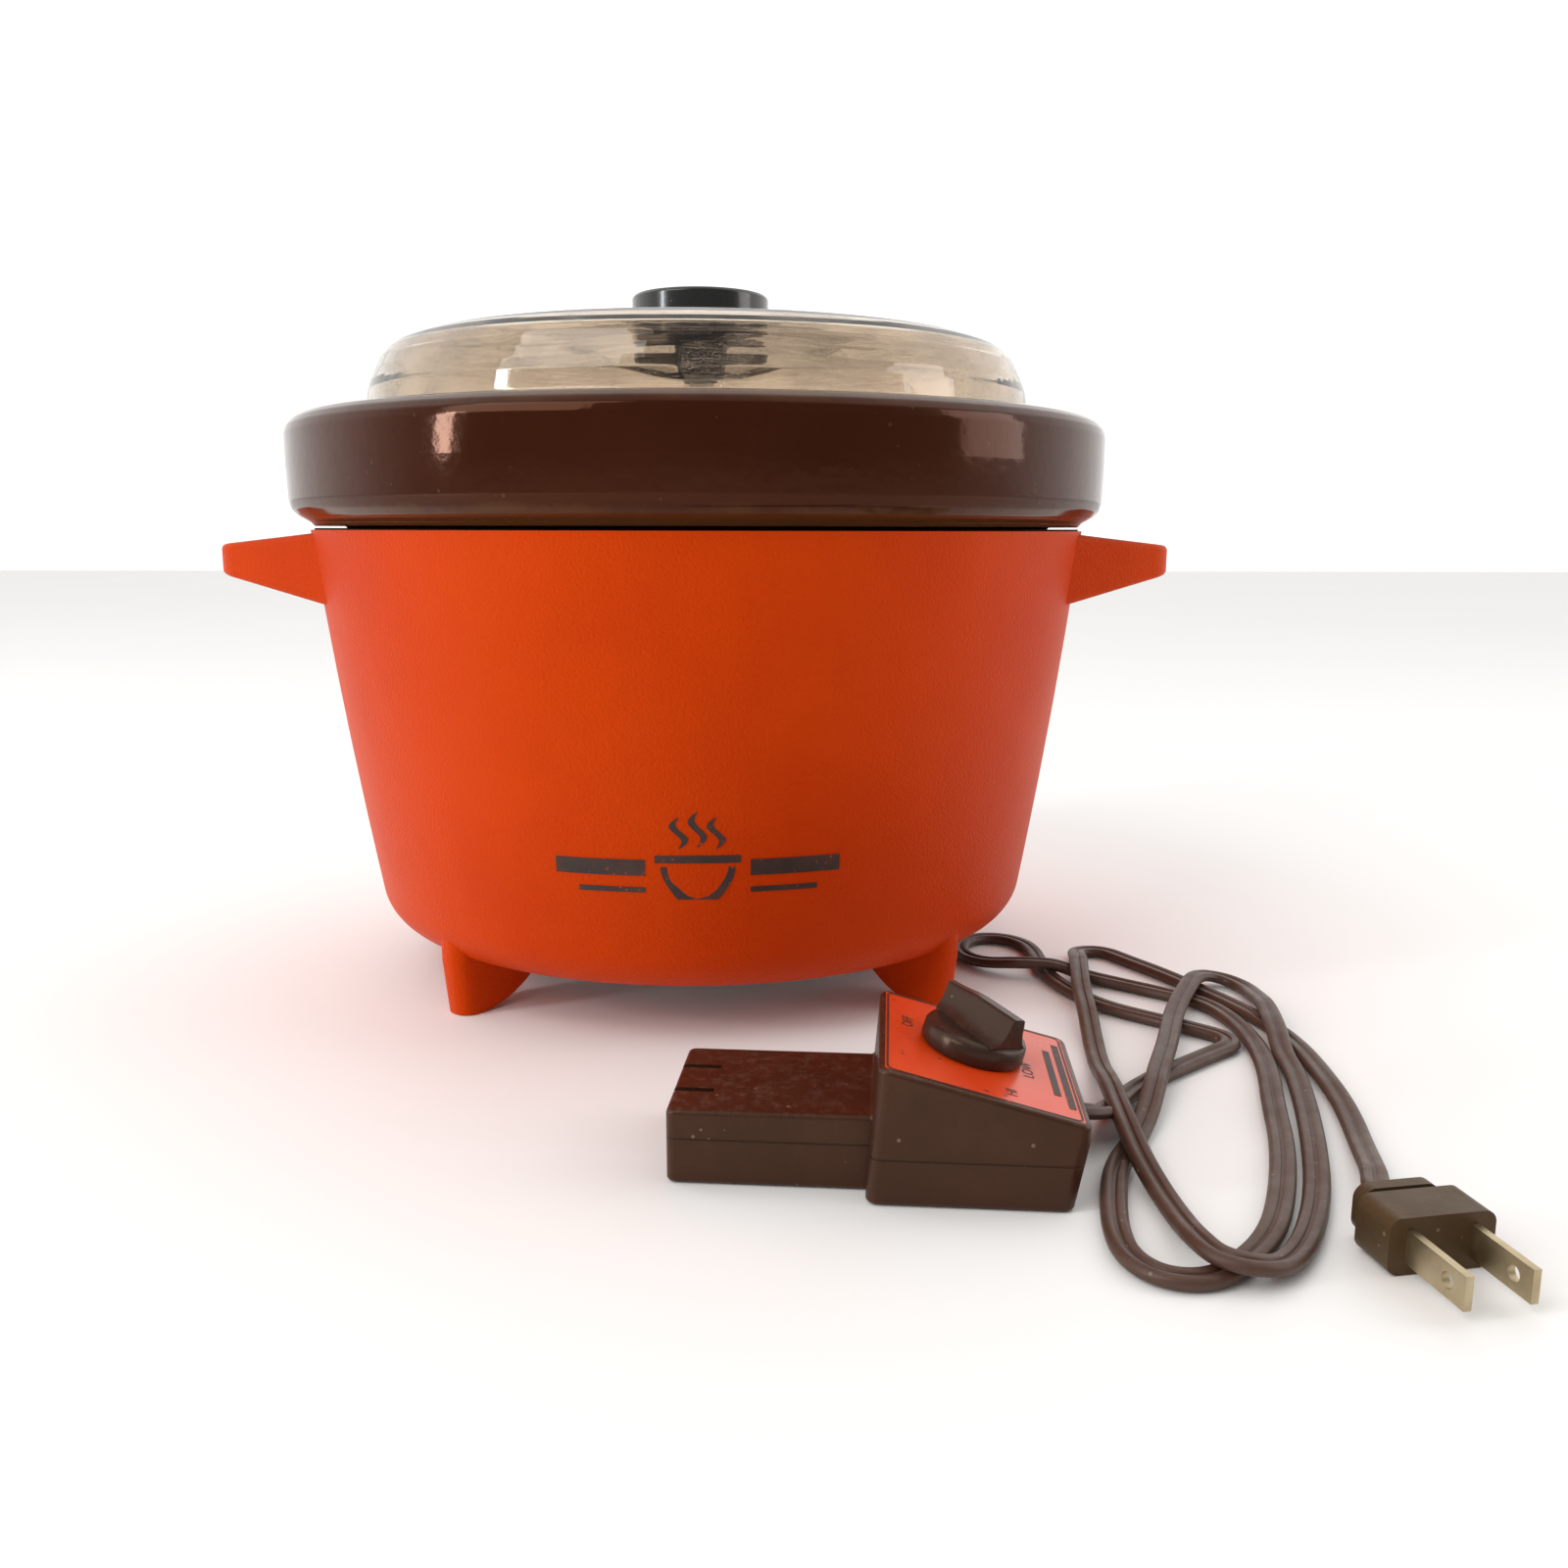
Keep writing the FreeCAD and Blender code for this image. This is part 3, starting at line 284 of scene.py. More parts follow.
# %% Lid
lid_outer = [(4.4, 177.4), (12, 178), (24, 180.6), (34, 183.2), (44, 184.7), (60, 185.2), (76, 184.7),
             (85.6, 183.3), (89.6, 181.7), (91.9, 179.9), (93.4, 177.7), (95.0, 174.4),
             (96.3, 171.4), (97.1, 168.7), (97.6, 164), (98.4, 161.4), (103.4, 160.4), (103.8, 159.4)]
lid_inner = [(r - (2.2 if r > 90 else 0.3), z - (0 if r > 97 else 2.4 if r < 90 else 1.0))
             for r, z in lid_outer[:-3]][::-1]
lid = lathe("clear_lid", lid_outer + [(103.4, 158.4), (97, 158.2)] + lid_inner + [lid_outer[0]],
            {i: 3 for i in range(1, 18)} | {i: 2 for i in range(19, 38)}, steps=240)
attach(lid, "lid")
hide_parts("lid")
print("lid", len(lid.data.vertices), "points")

# %% Lid knob
knob = lathe("lid_knob_turned", [
    (0.01, 177.5), (6.6, 177.5), (6.9, 180), (8.0, 186.4), (10.4, 188.6), (18.7, 188.8), (20.2, 190),
    (20.3, 198.2), (19.6, 199.1), (17.2, 198.9), (16.2, 198.2), (0.01, 197.8)],
    {2: 4, 3: 4, 4: 2, 5: 0.6, 6: 0.6, 7: 0.8, 8: 0.6, 9: 0.8, 10: 2}, steps=120)
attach(knob, "lid")
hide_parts("lid_knob")
print("knob", len(knob.data.vertices), "points")

# %% [markdown]
# ## Control unit
#
# The case halves and the plate keep their CAD shapes.  The dial is a soft moulding: a
# round skirt with a tall grip whose flanks are hollowed for finger and thumb.  The skirt is
# turned, and the grip is one outline carried from rim to rim, so its crests stay crisp.
#
# `UNIT`, `TOP` and `DIAL` are the frames of the case, its sloped top and the dial.

# %% Frames of the control unit
def shift(x, y, z):
    return Matrix.Translation(Vector((x, y, z)) * MM)


CASE_HIGH, CASE_LOW = 28.6, 17.8                    # top edge and low edge of the sloped top
CASE_LEAN, CASE_LONG, CASE_FLARE = 2.4, 41, 2.8     # where the slope starts, and the case's length
SLOPE = math.atan2(CASE_HIGH - CASE_LOW, CASE_LONG + CASE_FLARE - CASE_LEAN)
UNIT = shift(36.75, -157.05, 0) @ Matrix.Rotation(math.radians(-6.8), 4, "Z")
TOP = UNIT @ shift(CASE_LEAN, 0, CASE_HIGH) @ Matrix.Rotation(SLOPE, 4, "Y")
DIAL = TOP @ shift(19.8, 1.0, 0)
print("slope", round(math.degrees(SLOPE), 2), "degrees")


# %% Dial
def step(low, high, x):
    """0 below low, 1 above high, smooth between."""
    t = max(0.0, min(1.0, (x - low) / (high - low)))
    return t * t * (3 - 2 * t)


GRIP = [(4.6, 4.6), (4.6, 5.0), (3.3, 5.9), (2.5, 7.2), (2.0, 8.8), (1.75, 10.4), (1.55, 11.2), (1.1, 11.6)]


def make_dial():
    """The skirt as a turned disc, and the grip as a hollow-flanked wall along it."""
    spokes, points, faces = 120, [], []
    rings = ((0.01, 4.9), (8.8, 4.9), (9.8, 4.75), (10.5, 4.3), (10.85, 3.7), (11.0, 0.9),
             (10.8, 0.4), (3.2, 0.4), (3.2, 4.0), (0.01, 4.0))
    for r, z in rings:
        points += [(r * math.cos(2 * math.pi * k / spokes), r * math.sin(2 * math.pi * k / spokes), z)
                   for k in range(spokes)]
    for i in range(len(rings) - 1):
        for k in range(spokes):
            a, b = i * spokes + k, i * spokes + (k + 1) % spokes
            faces.append((a, b, b + spokes, a + spokes))
    # across the grip: up one flank, over the top and down the other
    across = [(-y, h) for y, h in GRIP] + [(y, h) for y, h in GRIP[::-1]]
    first, along, n = len(points), 40, len(across)
    for i in range(along + 1):
        t = math.sin(math.pi / 2 * (2 * i / along - 1))
        thin = 1 - 0.22 * step(-0.2, 1, t)
        for y, h in across:
            x = t * math.sqrt(10.7 ** 2 - y * y)
            nose = 0.7 * max(0, 1 - abs(y) / 1.8) * step(0.9, 1, t)
            lower = 0.9 * step(0, 1, t) * (h - 4.9) / 6.7
            points.append((x + nose, y * thin, h - max(0, lower)))
    for i in range(along):
        for k in range(n - 1):
            a = first + i * n + k
            faces.append((a, a + 1, a + 1 + n, a + n))
        faces.append((first + i * n + n - 1, first + i * n, first + i * n + n, first + i * n + 2 * n - 1))
    faces += [tuple(range(first, first + n)), tuple(range(len(points) - n, len(points)))[::-1]]
    turn = DIAL @ Matrix.Rotation(math.radians(128), 4, "Z")
    piece = add_mesh("dial_moulding", [turn @ (Vector(p) * MM) for p in points], faces)
    tidy_mesh(piece, sharp=34)
    return piece


dial = make_dial()
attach(dial, "dial")
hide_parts("dial_knob")
print("dial", len(dial.data.vertices), "points")

# %% [markdown]
# ## Printed marks
#
# The housing carries a plain printed ornament: a small bowl with three wisps of steam
# between two bars.  Each mark is a flat outline bent onto the wall, a tenth of a
# millimetre proud of it, so it stays crisp at any distance.  The dial plate has the
# words of its three settings, a thin border and a small ornament of bars.

# %% Marks on the housing
WALL_LOW, WALL_HIGH = 14, 130.6         # heights of the wall's lower and upper ends
WALL_FOOT, WALL_FLARE = 97.3, 17        # radius at the lower end, and how much it widens
WALL_BOW = 1                            # how far the wall bows outward at its middle


def wall_radius(z):
    """The housing's outer radius at a height: a straight taper with a slight bow."""
    t = (z - WALL_LOW) / (WALL_HIGH - WALL_LOW)
    return WALL_FOOT + WALL_FLARE * t + 4 * WALL_BOW * t * (1 - t)


def wall_mark(name, outlines):
    """Flat outlines of (across, height) points laid on the front of the housing."""
    points, faces = [], []
    for outline in outlines:
        first = len(points)
        for u, z in outline:
            r = wall_radius(z) + 0.12
            points.append(Vector((r * math.sin(u / r), -r * math.cos(u / r), z)) * MM)
        faces += [(first + i, first + i + 1, first + i + 3, first + i + 2)
                  for i in range(0, len(outline) - 3, 2)]
    piece = add_mesh(name, points, faces, smooth=False)
    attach(piece, "base")
    return piece


def bar(left, right, low, high, count=12):
    strip = []
    for i in range(count + 1):
        u = left + (right - left) * i / count
        strip += [(u, low), (u, high)]
    return strip


def wisp(u, low, tall, wide):
    strip = []
    for i in range(17):
        t = i / 16
        x = u + 1.5 * math.sin(t * math.pi * 2)
        half = wide * (0.25 + math.sin(math.pi * t)) / 2
        strip += [(x - half, low + tall * t), (x + half, low + tall * t)]
    return strip


def bowl(u, low, half, tall):
    strip = []
    for i in range(17):
        t = i / 16
        w = half * (0.55 + 0.45 * math.sin(math.pi / 2 * t))
        strip += [(u - w, low + tall * t), (u + w, low + tall * t)]
    return strip


ornament = wall_mark("bowl_ornament", [
    bar(-36, -13, 47.2, 51.4), bar(13, 36, 47.2, 51.4), bar(-30, -13, 42.8, 44.2), bar(13, 30, 42.8, 44.2),
    bowl(0, 41, 9.2, 8.6), bar(-10.6, 10.6, 50.6, 52.6), wisp(-4.6, 54.4, 8, 1.7),
    wisp(0, 54.8, 9, 1.7), wisp(4.6, 54.4, 8, 1.7)])
print("ornament", len(ornament.data.polygons), "faces")


# %% Marks on the dial plate
def plate_mark(name, outlines):
    """Strips of (along, across) points laid on the plate."""
    points, faces = [], []
    for outline in outlines:
        first = len(points)
        points += [TOP @ (Vector((s, y, 0.07)) * MM) for s, y in outline]
        faces += [(first + i, first + i + 1, first + i + 3, first + i + 2)
                  for i in range(0, len(outline) - 3, 2)]
    piece = add_mesh(name, points, faces, smooth=False)
    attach(piece, "unit")
    return piece


def frame_strip(s0, s1, half, width, corner):
    strip = []
    for cs, cy, start in ((s1 - corner, half - corner, 0), (s0 + corner, half - corner, 90),
                          (s0 + corner, corner - half, 180), (s1 - corner, corner - half, 270)):
        for k in range(7):
            a = math.radians(start + 15 * k)
            strip += [(cs + corner * math.cos(a), cy + corner * math.sin(a)),
                      (cs + (corner - width) * math.cos(a), cy + (corner - width) * math.sin(a))]
    return strip + strip[:2]


def word(name, text, s, y, tall):
    """A short word that reads across the plate."""
    curve = bpy.data.curves.new(name, "FONT")
    curve.body, curve.size = text, tall * MM
    curve.align_x = curve.align_y = "CENTER"
    temp = bpy.data.objects.new(name, curve)
    bpy.context.collection.objects.link(temp)
    temp.matrix_world = TOP @ shift(s, y, 0.075) @ Matrix.Rotation(math.radians(90), 4, "Z")
    bpy.context.view_layer.update()
    mesh = bpy.data.meshes.new_from_object(temp)
    mesh.transform(Matrix.Translation(AXIS) @ temp.matrix_world)
    bpy.data.objects.remove(temp)
    piece = bpy.data.objects.new(name, mesh)
    bpy.context.collection.objects.link(piece)
    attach(piece, "unit")
    return piece


border = plate_mark("plate_border", [frame_strip(1.5, 41.3, 22.2, 0.45, 1.6)])
bars = plate_mark("plate_bars", [
    [(s, a), (s + 1.5, a), (s, b), (s + 1.5, b)]
    for s, a, b in ((36.4, -12, 12), (38.9, -17, 17))])
words = [word("word_off", "OFF", 6.2, 6.9, 3.4), word("word_low", "LOW", 31.8, -2.4, 3.4),
         word("word_high", "HI", 27.2, -17.0, 3.4)]
print("plate marks", [w.name for w in words])

# %% [markdown]
# ## Shared surface effects
#
# Each effect that several materials use is a node group, built once: `grain` for moulded
# pebbling, `mottle` for slow changes of tone, `flecks` for lint and pinholes, `scratches`
# for fine handling marks and `dust` for what settles on faces that look upward.  They read
# object coordinates, so the pattern stays on the piece when the piece moves.

# %% Node helpers
def node(tree, kind, inputs={}, **settings):
    made = tree.nodes.new("ShaderNode" + kind)
    for key, setting in settings.items():
        setattr(made, key, setting)
    for key, entry in inputs.items():
        if isinstance(entry, bpy.types.NodeSocket):
            tree.links.new(entry, made.inputs[key])
        else:
            made.inputs[key].default_value = entry
    return made


def maths(tree, operation, a, b=0.0, clamp=False):
    return node(tree, "Math", {0: a, 1: b}, operation=operation, use_clamp=clamp).outputs[0]


def ramp(tree, value, low, high, out_low=0.0, out_high=1.0):
    return node(tree, "MapRange", {"Value": value, "From Min": low, "From Max": high,
                                   "To Min": out_low, "To Max": out_high},
                interpolation_type="SMOOTHSTEP").outputs[0]


def blend(tree, factor, a, b):
    """Mix two colours by a factor."""
    made = node(tree, "Mix", data_type="RGBA")
    for socket, entry in ((0, factor), (6, a), (7, b)):
        if isinstance(entry, bpy.types.NodeSocket):
            tree.links.new(entry, made.inputs[socket])
        else:
            made.inputs[socket].default_value = (*entry, 1) if socket else entry
    return made.outputs[2]


def object_place(tree):
    return node(tree, "TexCoord").outputs["Object"]


def new_group(name, inputs, output):
    tree = bpy.data.node_groups.new(name, "ShaderNodeTree")
    for label, start in inputs:
        tree.interface.new_socket(label, in_out="INPUT", socket_type="NodeSocketFloat").default_value = start
    tree.interface.new_socket(output, in_out="OUTPUT", socket_type="NodeSocketFloat")
    return tree, tree.nodes.new("NodeGroupInput").outputs, tree.nodes.new("NodeGroupOutput").inputs[output]


print("node helpers ready")


# %% Effect groups
def build_grain():
    tree, given, out = new_group("grain", [("Scale", 1400)], "Height")
    place = object_place(tree)
    fine = node(tree, "TexNoise", {"Vector": place, "Scale": given[0], "Detail": 2.0, "Roughness": 0.5})
    cells = node(tree, "TexVoronoi", {"Vector": place, "Scale": given[0]}, feature="SMOOTH_F1")
    both = maths(tree, "MULTIPLY_ADD", cells.outputs["Distance"], -0.6)
    tree.links.new(fine.outputs[0], both.node.inputs[2])
    tree.links.new(both, out)
    return tree


def build_mottle():
    tree, given, out = new_group("mottle", [("Scale", 20)], "Tone")
    place = object_place(tree)
    slow = node(tree, "TexNoise", {"Vector": place, "Scale": given[0], "Detail": 4.0, "Roughness": 0.6})
    tree.links.new(ramp(tree, slow.outputs[0], 0.3, 0.7), out)
    return tree


def build_flecks():
    tree, given, out = new_group("flecks", [("Scale", 300), ("Share", 0.1), ("Size", 0.2)], "Mask")
    place = object_place(tree)
    cells = node(tree, "TexVoronoi", {"Vector": place, "Scale": given[0]})
    chosen = node(tree, "SeparateColor", {"Color": cells.outputs["Color"]}).outputs[0]
    picked = maths(tree, "LESS_THAN", chosen, given[1])
    reach = maths(tree, "MULTIPLY", given[2], chosen_size(tree, cells))
    inside = maths(tree, "LESS_THAN", cells.outputs["Distance"], reach)
    tree.links.new(maths(tree, "MULTIPLY", picked, inside), out)
    return tree


def chosen_size(tree, cells):
    size = node(tree, "SeparateColor", {"Color": cells.outputs["Color"]}).outputs[1]
    return maths(tree, "ADD", size, 0.3)


def build_scratches():
    tree, given, out = new_group("scratches", [("Scale", 60), ("Share", 0.3)], "Mask")
    place = object_place(tree)
    total = None
    for turn, stretch in (((0.3, 0.2, 0.7), (1, 26, 26)), ((0.9, 0.4, -0.5), (24, 1, 24))):
        laid = node(tree, "Mapping", {"Vector": place, "Rotation": turn, "Scale": stretch})
        lines = node(tree, "TexNoise", {"Vector": laid.outputs[0], "Scale": given[0], "Detail": 0.0})
        thin = ramp(tree, maths(tree, "ABSOLUTE", maths(tree, "SUBTRACT", lines.outputs[0], 0.5)), 0.006, 0.0)
        total = thin if total is None else maths(tree, "MAXIMUM", total, thin)
    where = node(tree, "TexNoise", {"Vector": place, "Scale": given[0], "Detail": 1.0})
    limit = maths(tree, "SUBTRACT", 1.0, given[1])
    some = maths(tree, "GREATER_THAN", where.outputs[0], limit)
    tree.links.new(maths(tree, "MULTIPLY", total, some), out)
    return tree


def build_dust():
    tree, given, out = new_group("dust", [("Amount", 0.3)], "Mask")
    place = object_place(tree)
    up = node(tree, "SeparateXYZ", {"Vector": node(tree, "NewGeometry").outputs["Normal"]}).outputs[2]
    specks = node(tree, "TexNoise", {"Vector": place, "Scale": 420.0, "Detail": 4.0, "Roughness": 0.7})
    film = node(tree, "TexNoise", {"Vector": place, "Scale": 24.0, "Detail": 3.0})
    settled = maths(tree, "MULTIPLY", ramp(tree, up, 0.35, 1.0), ramp(tree, specks.outputs[0], 0.45, 0.75))
    settled = maths(tree, "MULTIPLY", settled, ramp(tree, film.outputs[0], 0.3, 0.7, 0.3, 1.0))
    tree.links.new(maths(tree, "MULTIPLY", settled, given[0]), out)
    return tree


EFFECTS = {"grain": build_grain(), "mottle": build_mottle(), "flecks": build_flecks(),
           "scratches": build_scratches(), "dust": build_dust()}
print("effects:", ", ".join(EFFECTS))

# %% [markdown]
# ## Materials
#
# `Surface` starts a material; `effect` drops a shared group into it; `tint` and `roughen`
# change its colour and its gloss through a mask; `bump` adds relief.
# Numbers that hold for the whole surface are set on the shader itself.

# %% Material helpers
class Surface:
    """One material under construction."""

    def __init__(self, name, colour, rough, **settings):
        self.material = bpy.data.materials.new(name)
        self.material.use_nodes = True
        self.tree = self.material.node_tree
        self.shader = self.tree.nodes["Principled BSDF"]
        self.colour, self.rough, self.normal = (*colour, 1), rough, None
        self.shader.inputs["Base Color"].default_value = self.colour
        self.shader.inputs["Roughness"].default_value = rough
        for key, entry in settings.items():
            self.shader.inputs[key.replace("_", " ")].default_value = entry

    def effect(self, name, **values):
        made = self.tree.nodes.new("ShaderNodeGroup")
        made.node_tree = EFFECTS[name]
        for key, entry in values.items():
            made.inputs[key].default_value = entry
        return made.outputs[0]

    def tint(self, mask, colour, amount=1.0):
        if amount != 1.0:
            mask = maths(self.tree, "MULTIPLY", mask, amount)
        base = self.colour if isinstance(self.colour, bpy.types.NodeSocket) else self.colour[:3]
        self.colour = blend(self.tree, mask, base, colour)
        self.tree.links.new(self.colour, self.shader.inputs["Base Color"])

    def roughen(self, mask, change):
        start = self.rough
        self.rough = maths(self.tree, "MULTIPLY_ADD", mask, change, clamp=True)
        if isinstance(start, bpy.types.NodeSocket):
            self.tree.links.new(start, self.rough.node.inputs[2])
        else:
            self.rough.node.inputs[2].default_value = start
        self.tree.links.new(self.rough, self.shader.inputs["Roughness"])

    def bump(self, height, distance, strength=1.0):
        made = node(self.tree, "Bump", {"Height": height, "Distance": distance, "Strength": strength})
        if self.normal:
            self.tree.links.new(self.normal, made.inputs["Normal"])
        self.normal = made.outputs[0]
        self.tree.links.new(self.normal, self.shader.inputs["Normal"])

    def place(self):
        return node(self.tree, "SeparateXYZ", {"Vector": object_place(self.tree)}).outputs


def paint(made, *pieces):
    for piece in pieces:
        piece = nodes[piece] if isinstance(piece, str) else piece
        piece.data.materials.clear()
        piece.data.materials.append(made.material)


print("material helpers ready")

# %% [markdown]
# ### Orange housing
#
# Moulded plastic with an even pebble grain under a satin sheen.  Decades of kitchen use
# have rubbed and tanned it slowly, so the tone drifts a little, and a film of dust sits on
# the tops of the grips.  The colour is in the plastic, so there is no edge wear to paint.

# %% Housing
shell = Surface("orange_shell", (0.60, 0.048, 0.0010), 0.44, Specular_IOR_Level=0.14,
                Specular_Tint=(1.0, 0.55, 0.25, 1.0))
tone = shell.effect("mottle", Scale=9)
shell.tint(tone, (0.52, 0.036, 0.001))
shell.tint(shell.effect("dust", Amount=0.35), (0.55, 0.28, 0.18), 0.5)
shell.roughen(tone, 0.06)
shell.roughen(shell.effect("scratches", Scale=22, Share=0.42), -0.12)
shell.bump(shell.effect("mottle", Scale=30), 0.0004, 0.25)
shell.bump(shell.effect("grain", Scale=1500), 0.00022, 0.8)
paint(shell, "housing")
print(shell.material.name, len(shell.tree.nodes), "nodes")

# %% [markdown]
# ### Glazed crock
#
# A near-black red-brown glaze that is glassy where it is thick.  On sharp turns - the rim
# and the lower edge - it runs thin in the kiln and breaks to an olive brown.  The glaze
# has a slow waviness that bends reflections, small pinholes and a few cloudy patches.

# %% Crock glaze
glaze = Surface("brown_glaze", (0.030, 0.0058, 0.0018), 0.07, Specular_IOR_Level=0.34,
                Specular_Tint=(1.0, 0.48, 0.30, 1.0))
z = glaze.place()[2]
cloud = glaze.effect("mottle", Scale=16)
glaze.tint(cloud, (0.044, 0.011, 0.0045), 0.5)
drift = maths(glaze.tree, "MULTIPLY_ADD", glaze.effect("mottle", Scale=70), 0.0022)
glaze.tree.links.new(z, drift.node.inputs[2])
rim = ramp(glaze.tree, drift, 0.1600, 0.1632)
foot = ramp(glaze.tree, drift, 0.1382, 0.1355)
glaze.tint(maths(glaze.tree, "MAXIMUM", rim, foot), (0.070, 0.030, 0.009), 0.7)
glaze.tint(glaze.effect("flecks", Scale=560, Share=0.05, Size=0.22), (0.08, 0.045, 0.025), 0.5)
glaze.roughen(cloud, 0.07)
glaze.roughen(glaze.effect("scratches", Scale=40, Share=0.40), 0.12)
glaze.bump(glaze.effect("mottle", Scale=14), 0.0008, 0.12)
glaze.bump(glaze.effect("flecks", Scale=260, Share=0.06, Size=0.35), -0.0002, 0.6)
glaze.bump(glaze.effect("grain", Scale=420), 0.00008, 0.35)
paint(glaze, crock)
print(glaze.material.name, len(glaze.tree.nodes), "nodes")

# %% [markdown]
# ### Clear lid
#
# A slightly smoky clear shell.  All of its light passes through, tinted a warm grey, and
# the surface carries fine scratches and a faint film where a cloth never quite reaches.

# %% Lid material
clear = Surface("smoky_lid", (0.74, 0.64, 0.53), 0.008, Transmission_Weight=1.0, IOR=1.46)
clear.roughen(clear.effect("scratches", Scale=45, Share=0.50), 0.25)
clear.roughen(clear.effect("mottle", Scale=18), 0.01)
clear.bump(clear.effect("mottle", Scale=22), 0.0008, 0.10)
clear.bump(clear.effect("scratches", Scale=60, Share=0.5), -0.00006, 0.5)
paint(clear, lid)

black = Surface("black_knob", (0.010, 0.0095, 0.010), 0.22, Coat_Weight=0.3, Coat_Roughness=0.1)
black.tint(black.effect("flecks", Scale=500, Share=0.10, Size=0.30), (0.12, 0.12, 0.12), 0.7)
black.tint(black.effect("dust", Amount=0.6), (0.10, 0.095, 0.09), 0.7)
black.roughen(black.effect("scratches", Scale=60, Share=0.5), 0.3)
black.bump(black.effect("grain", Scale=900), 0.00005, 0.3)
paint(black, knob)
print("lid and knob painted")

# %% [markdown]
# ### Control unit and plug
#
# The case is dark brown plastic with a low gloss, full of fine scratches and specks of
# lint.  The two halves meet flush at a thin seam 9.6 mm above the table, so the material
# sinks the seam and paints its shade as a dark line along it.  The plug is the same
# plastic, softer and more worn.

# %% Brown mouldings
def brown_plastic(name, colour, rough, seam=None):
    made = Surface(name, colour, rough, Specular_IOR_Level=0.4, Specular_Tint=(1.0, 0.7, 0.52, 1.0))
    pale = tuple(2.6 * c for c in colour)
    made.tint(made.effect("mottle", Scale=60), tuple(1.5 * c for c in colour), 0.6)
    made.tint(made.effect("scratches", Scale=110, Share=0.44), pale, 0.6)
    made.tint(made.effect("flecks", Scale=620, Share=0.04, Size=0.20), (0.22, 0.16, 0.12), 0.6)
    made.tint(made.effect("dust", Amount=0.6), (0.20, 0.14, 0.11), 0.5)
    made.roughen(made.effect("mottle", Scale=45), 0.12)
    made.roughen(made.effect("scratches", Scale=90, Share=0.5), 0.2)
    if seam:
        z = made.place()[2]
        away = maths(made.tree, "ABSOLUTE", maths(made.tree, "SUBTRACT", z, seam))
        # painted shade: a dark line where the two flush case halves meet, in place of the shade in a gap
        seam_shade = ramp(made.tree, away, 0.00022, 0.00006)
        made.tint(seam_shade, tuple(0.2 * c for c in colour), 0.9)
        made.bump(seam_shade, -0.0003, 1.0)
    made.bump(made.effect("grain", Scale=1100), 0.00006, 0.5)
    return made


case = brown_plastic("brown_case", (0.036, 0.0125, 0.0065), 0.28, seam=0.0096)
paint(case, "unit_base", "unit_cover")
paint(brown_plastic("brown_plug", (0.052, 0.031, 0.013), 0.42), "plug_body")
paint(brown_plastic("dial_plastic", (0.026, 0.014, 0.010), 0.26), dial)

skin = Surface("brown_lead", (0.070, 0.030, 0.018), 0.40, Specular_IOR_Level=0.4)
skin.tint(skin.effect("mottle", Scale=55), (0.085, 0.044, 0.028), 0.8)
skin.tint(skin.effect("flecks", Scale=700, Share=0.06, Size=0.25), (0.22, 0.17, 0.13), 0.6)
skin.tint(skin.effect("dust", Amount=0.5), (0.16, 0.11, 0.085), 0.6)
skin.roughen(skin.effect("mottle", Scale=120), 0.14)
skin.bump(skin.effect("grain", Scale=1800), 0.00005, 0.6)
paint(skin, lead)
print("mouldings painted")

# %% [markdown]
# ### Dial plate and ink
#
# The plate is a thin sheet with a clear-coated orange print; its coat has small chips
# scattered over it, where the dark sheet shows through.

# %% Plate and ink
plate = Surface("orange_plate", (0.72, 0.060, 0.003), 0.26, Coat_Weight=0.12, Coat_Roughness=0.12)
plate.tint(plate.effect("mottle", Scale=70), (0.66, 0.040, 0.004), 0.7)
plate.tint(plate.effect("flecks", Scale=520, Share=0.06, Size=0.30), (0.10, 0.03, 0.015), 0.7)
plate.tint(plate.effect("scratches", Scale=110, Share=0.46), (0.85, 0.22, 0.08), 0.4)
plate.roughen(plate.effect("mottle", Scale=50), 0.10)
plate.bump(plate.effect("grain", Scale=600), 0.00004, 0.4)
paint(plate, "face_plate")

ink = Surface("printed_ink", (0.022, 0.009, 0.006), 0.5)
ink.tint(ink.effect("mottle", Scale=160), (0.050, 0.014, 0.007), 0.9)
ink.tint(ink.effect("flecks", Scale=1300, Share=0.10, Size=0.4), (0.30, 0.03, 0.004), 0.8)
ink.bump(ink.effect("grain", Scale=1500), 0.00012, 0.6)
paint(ink, ornament, border, bars, *words)
print("plate and ink painted")

# %% [markdown]
# ### Metals and inner pieces
#
# Little of these shows at rest, but each appears when the lid and crock are lifted or the
# cooker is seen from below, so each has its own surface.  The outer edge of the pan's
# flange is painted near black as shade, so the seam under the crock reads as a dark line.

# %% Metals and inner pieces
def metal(name, colour, rough, brushed=False, stain=None):
    made = Surface(name, colour, rough, Metallic=1.0)
    made.tint(made.effect("mottle", Scale=45), tuple(0.72 * c for c in colour), 0.7)
    if stain:
        made.tint(made.effect("mottle", Scale=110), stain, 0.35)
    made.roughen(made.effect("mottle", Scale=80), 0.2)
    made.roughen(made.effect("scratches", Scale=80, Share=0.5), 0.2)
    if brushed:
        made.bump(made.effect("scratches", Scale=240, Share=0.6), 0.00004, 0.5)
    made.bump(made.effect("grain", Scale=700), 0.00004, 0.3)
    return made


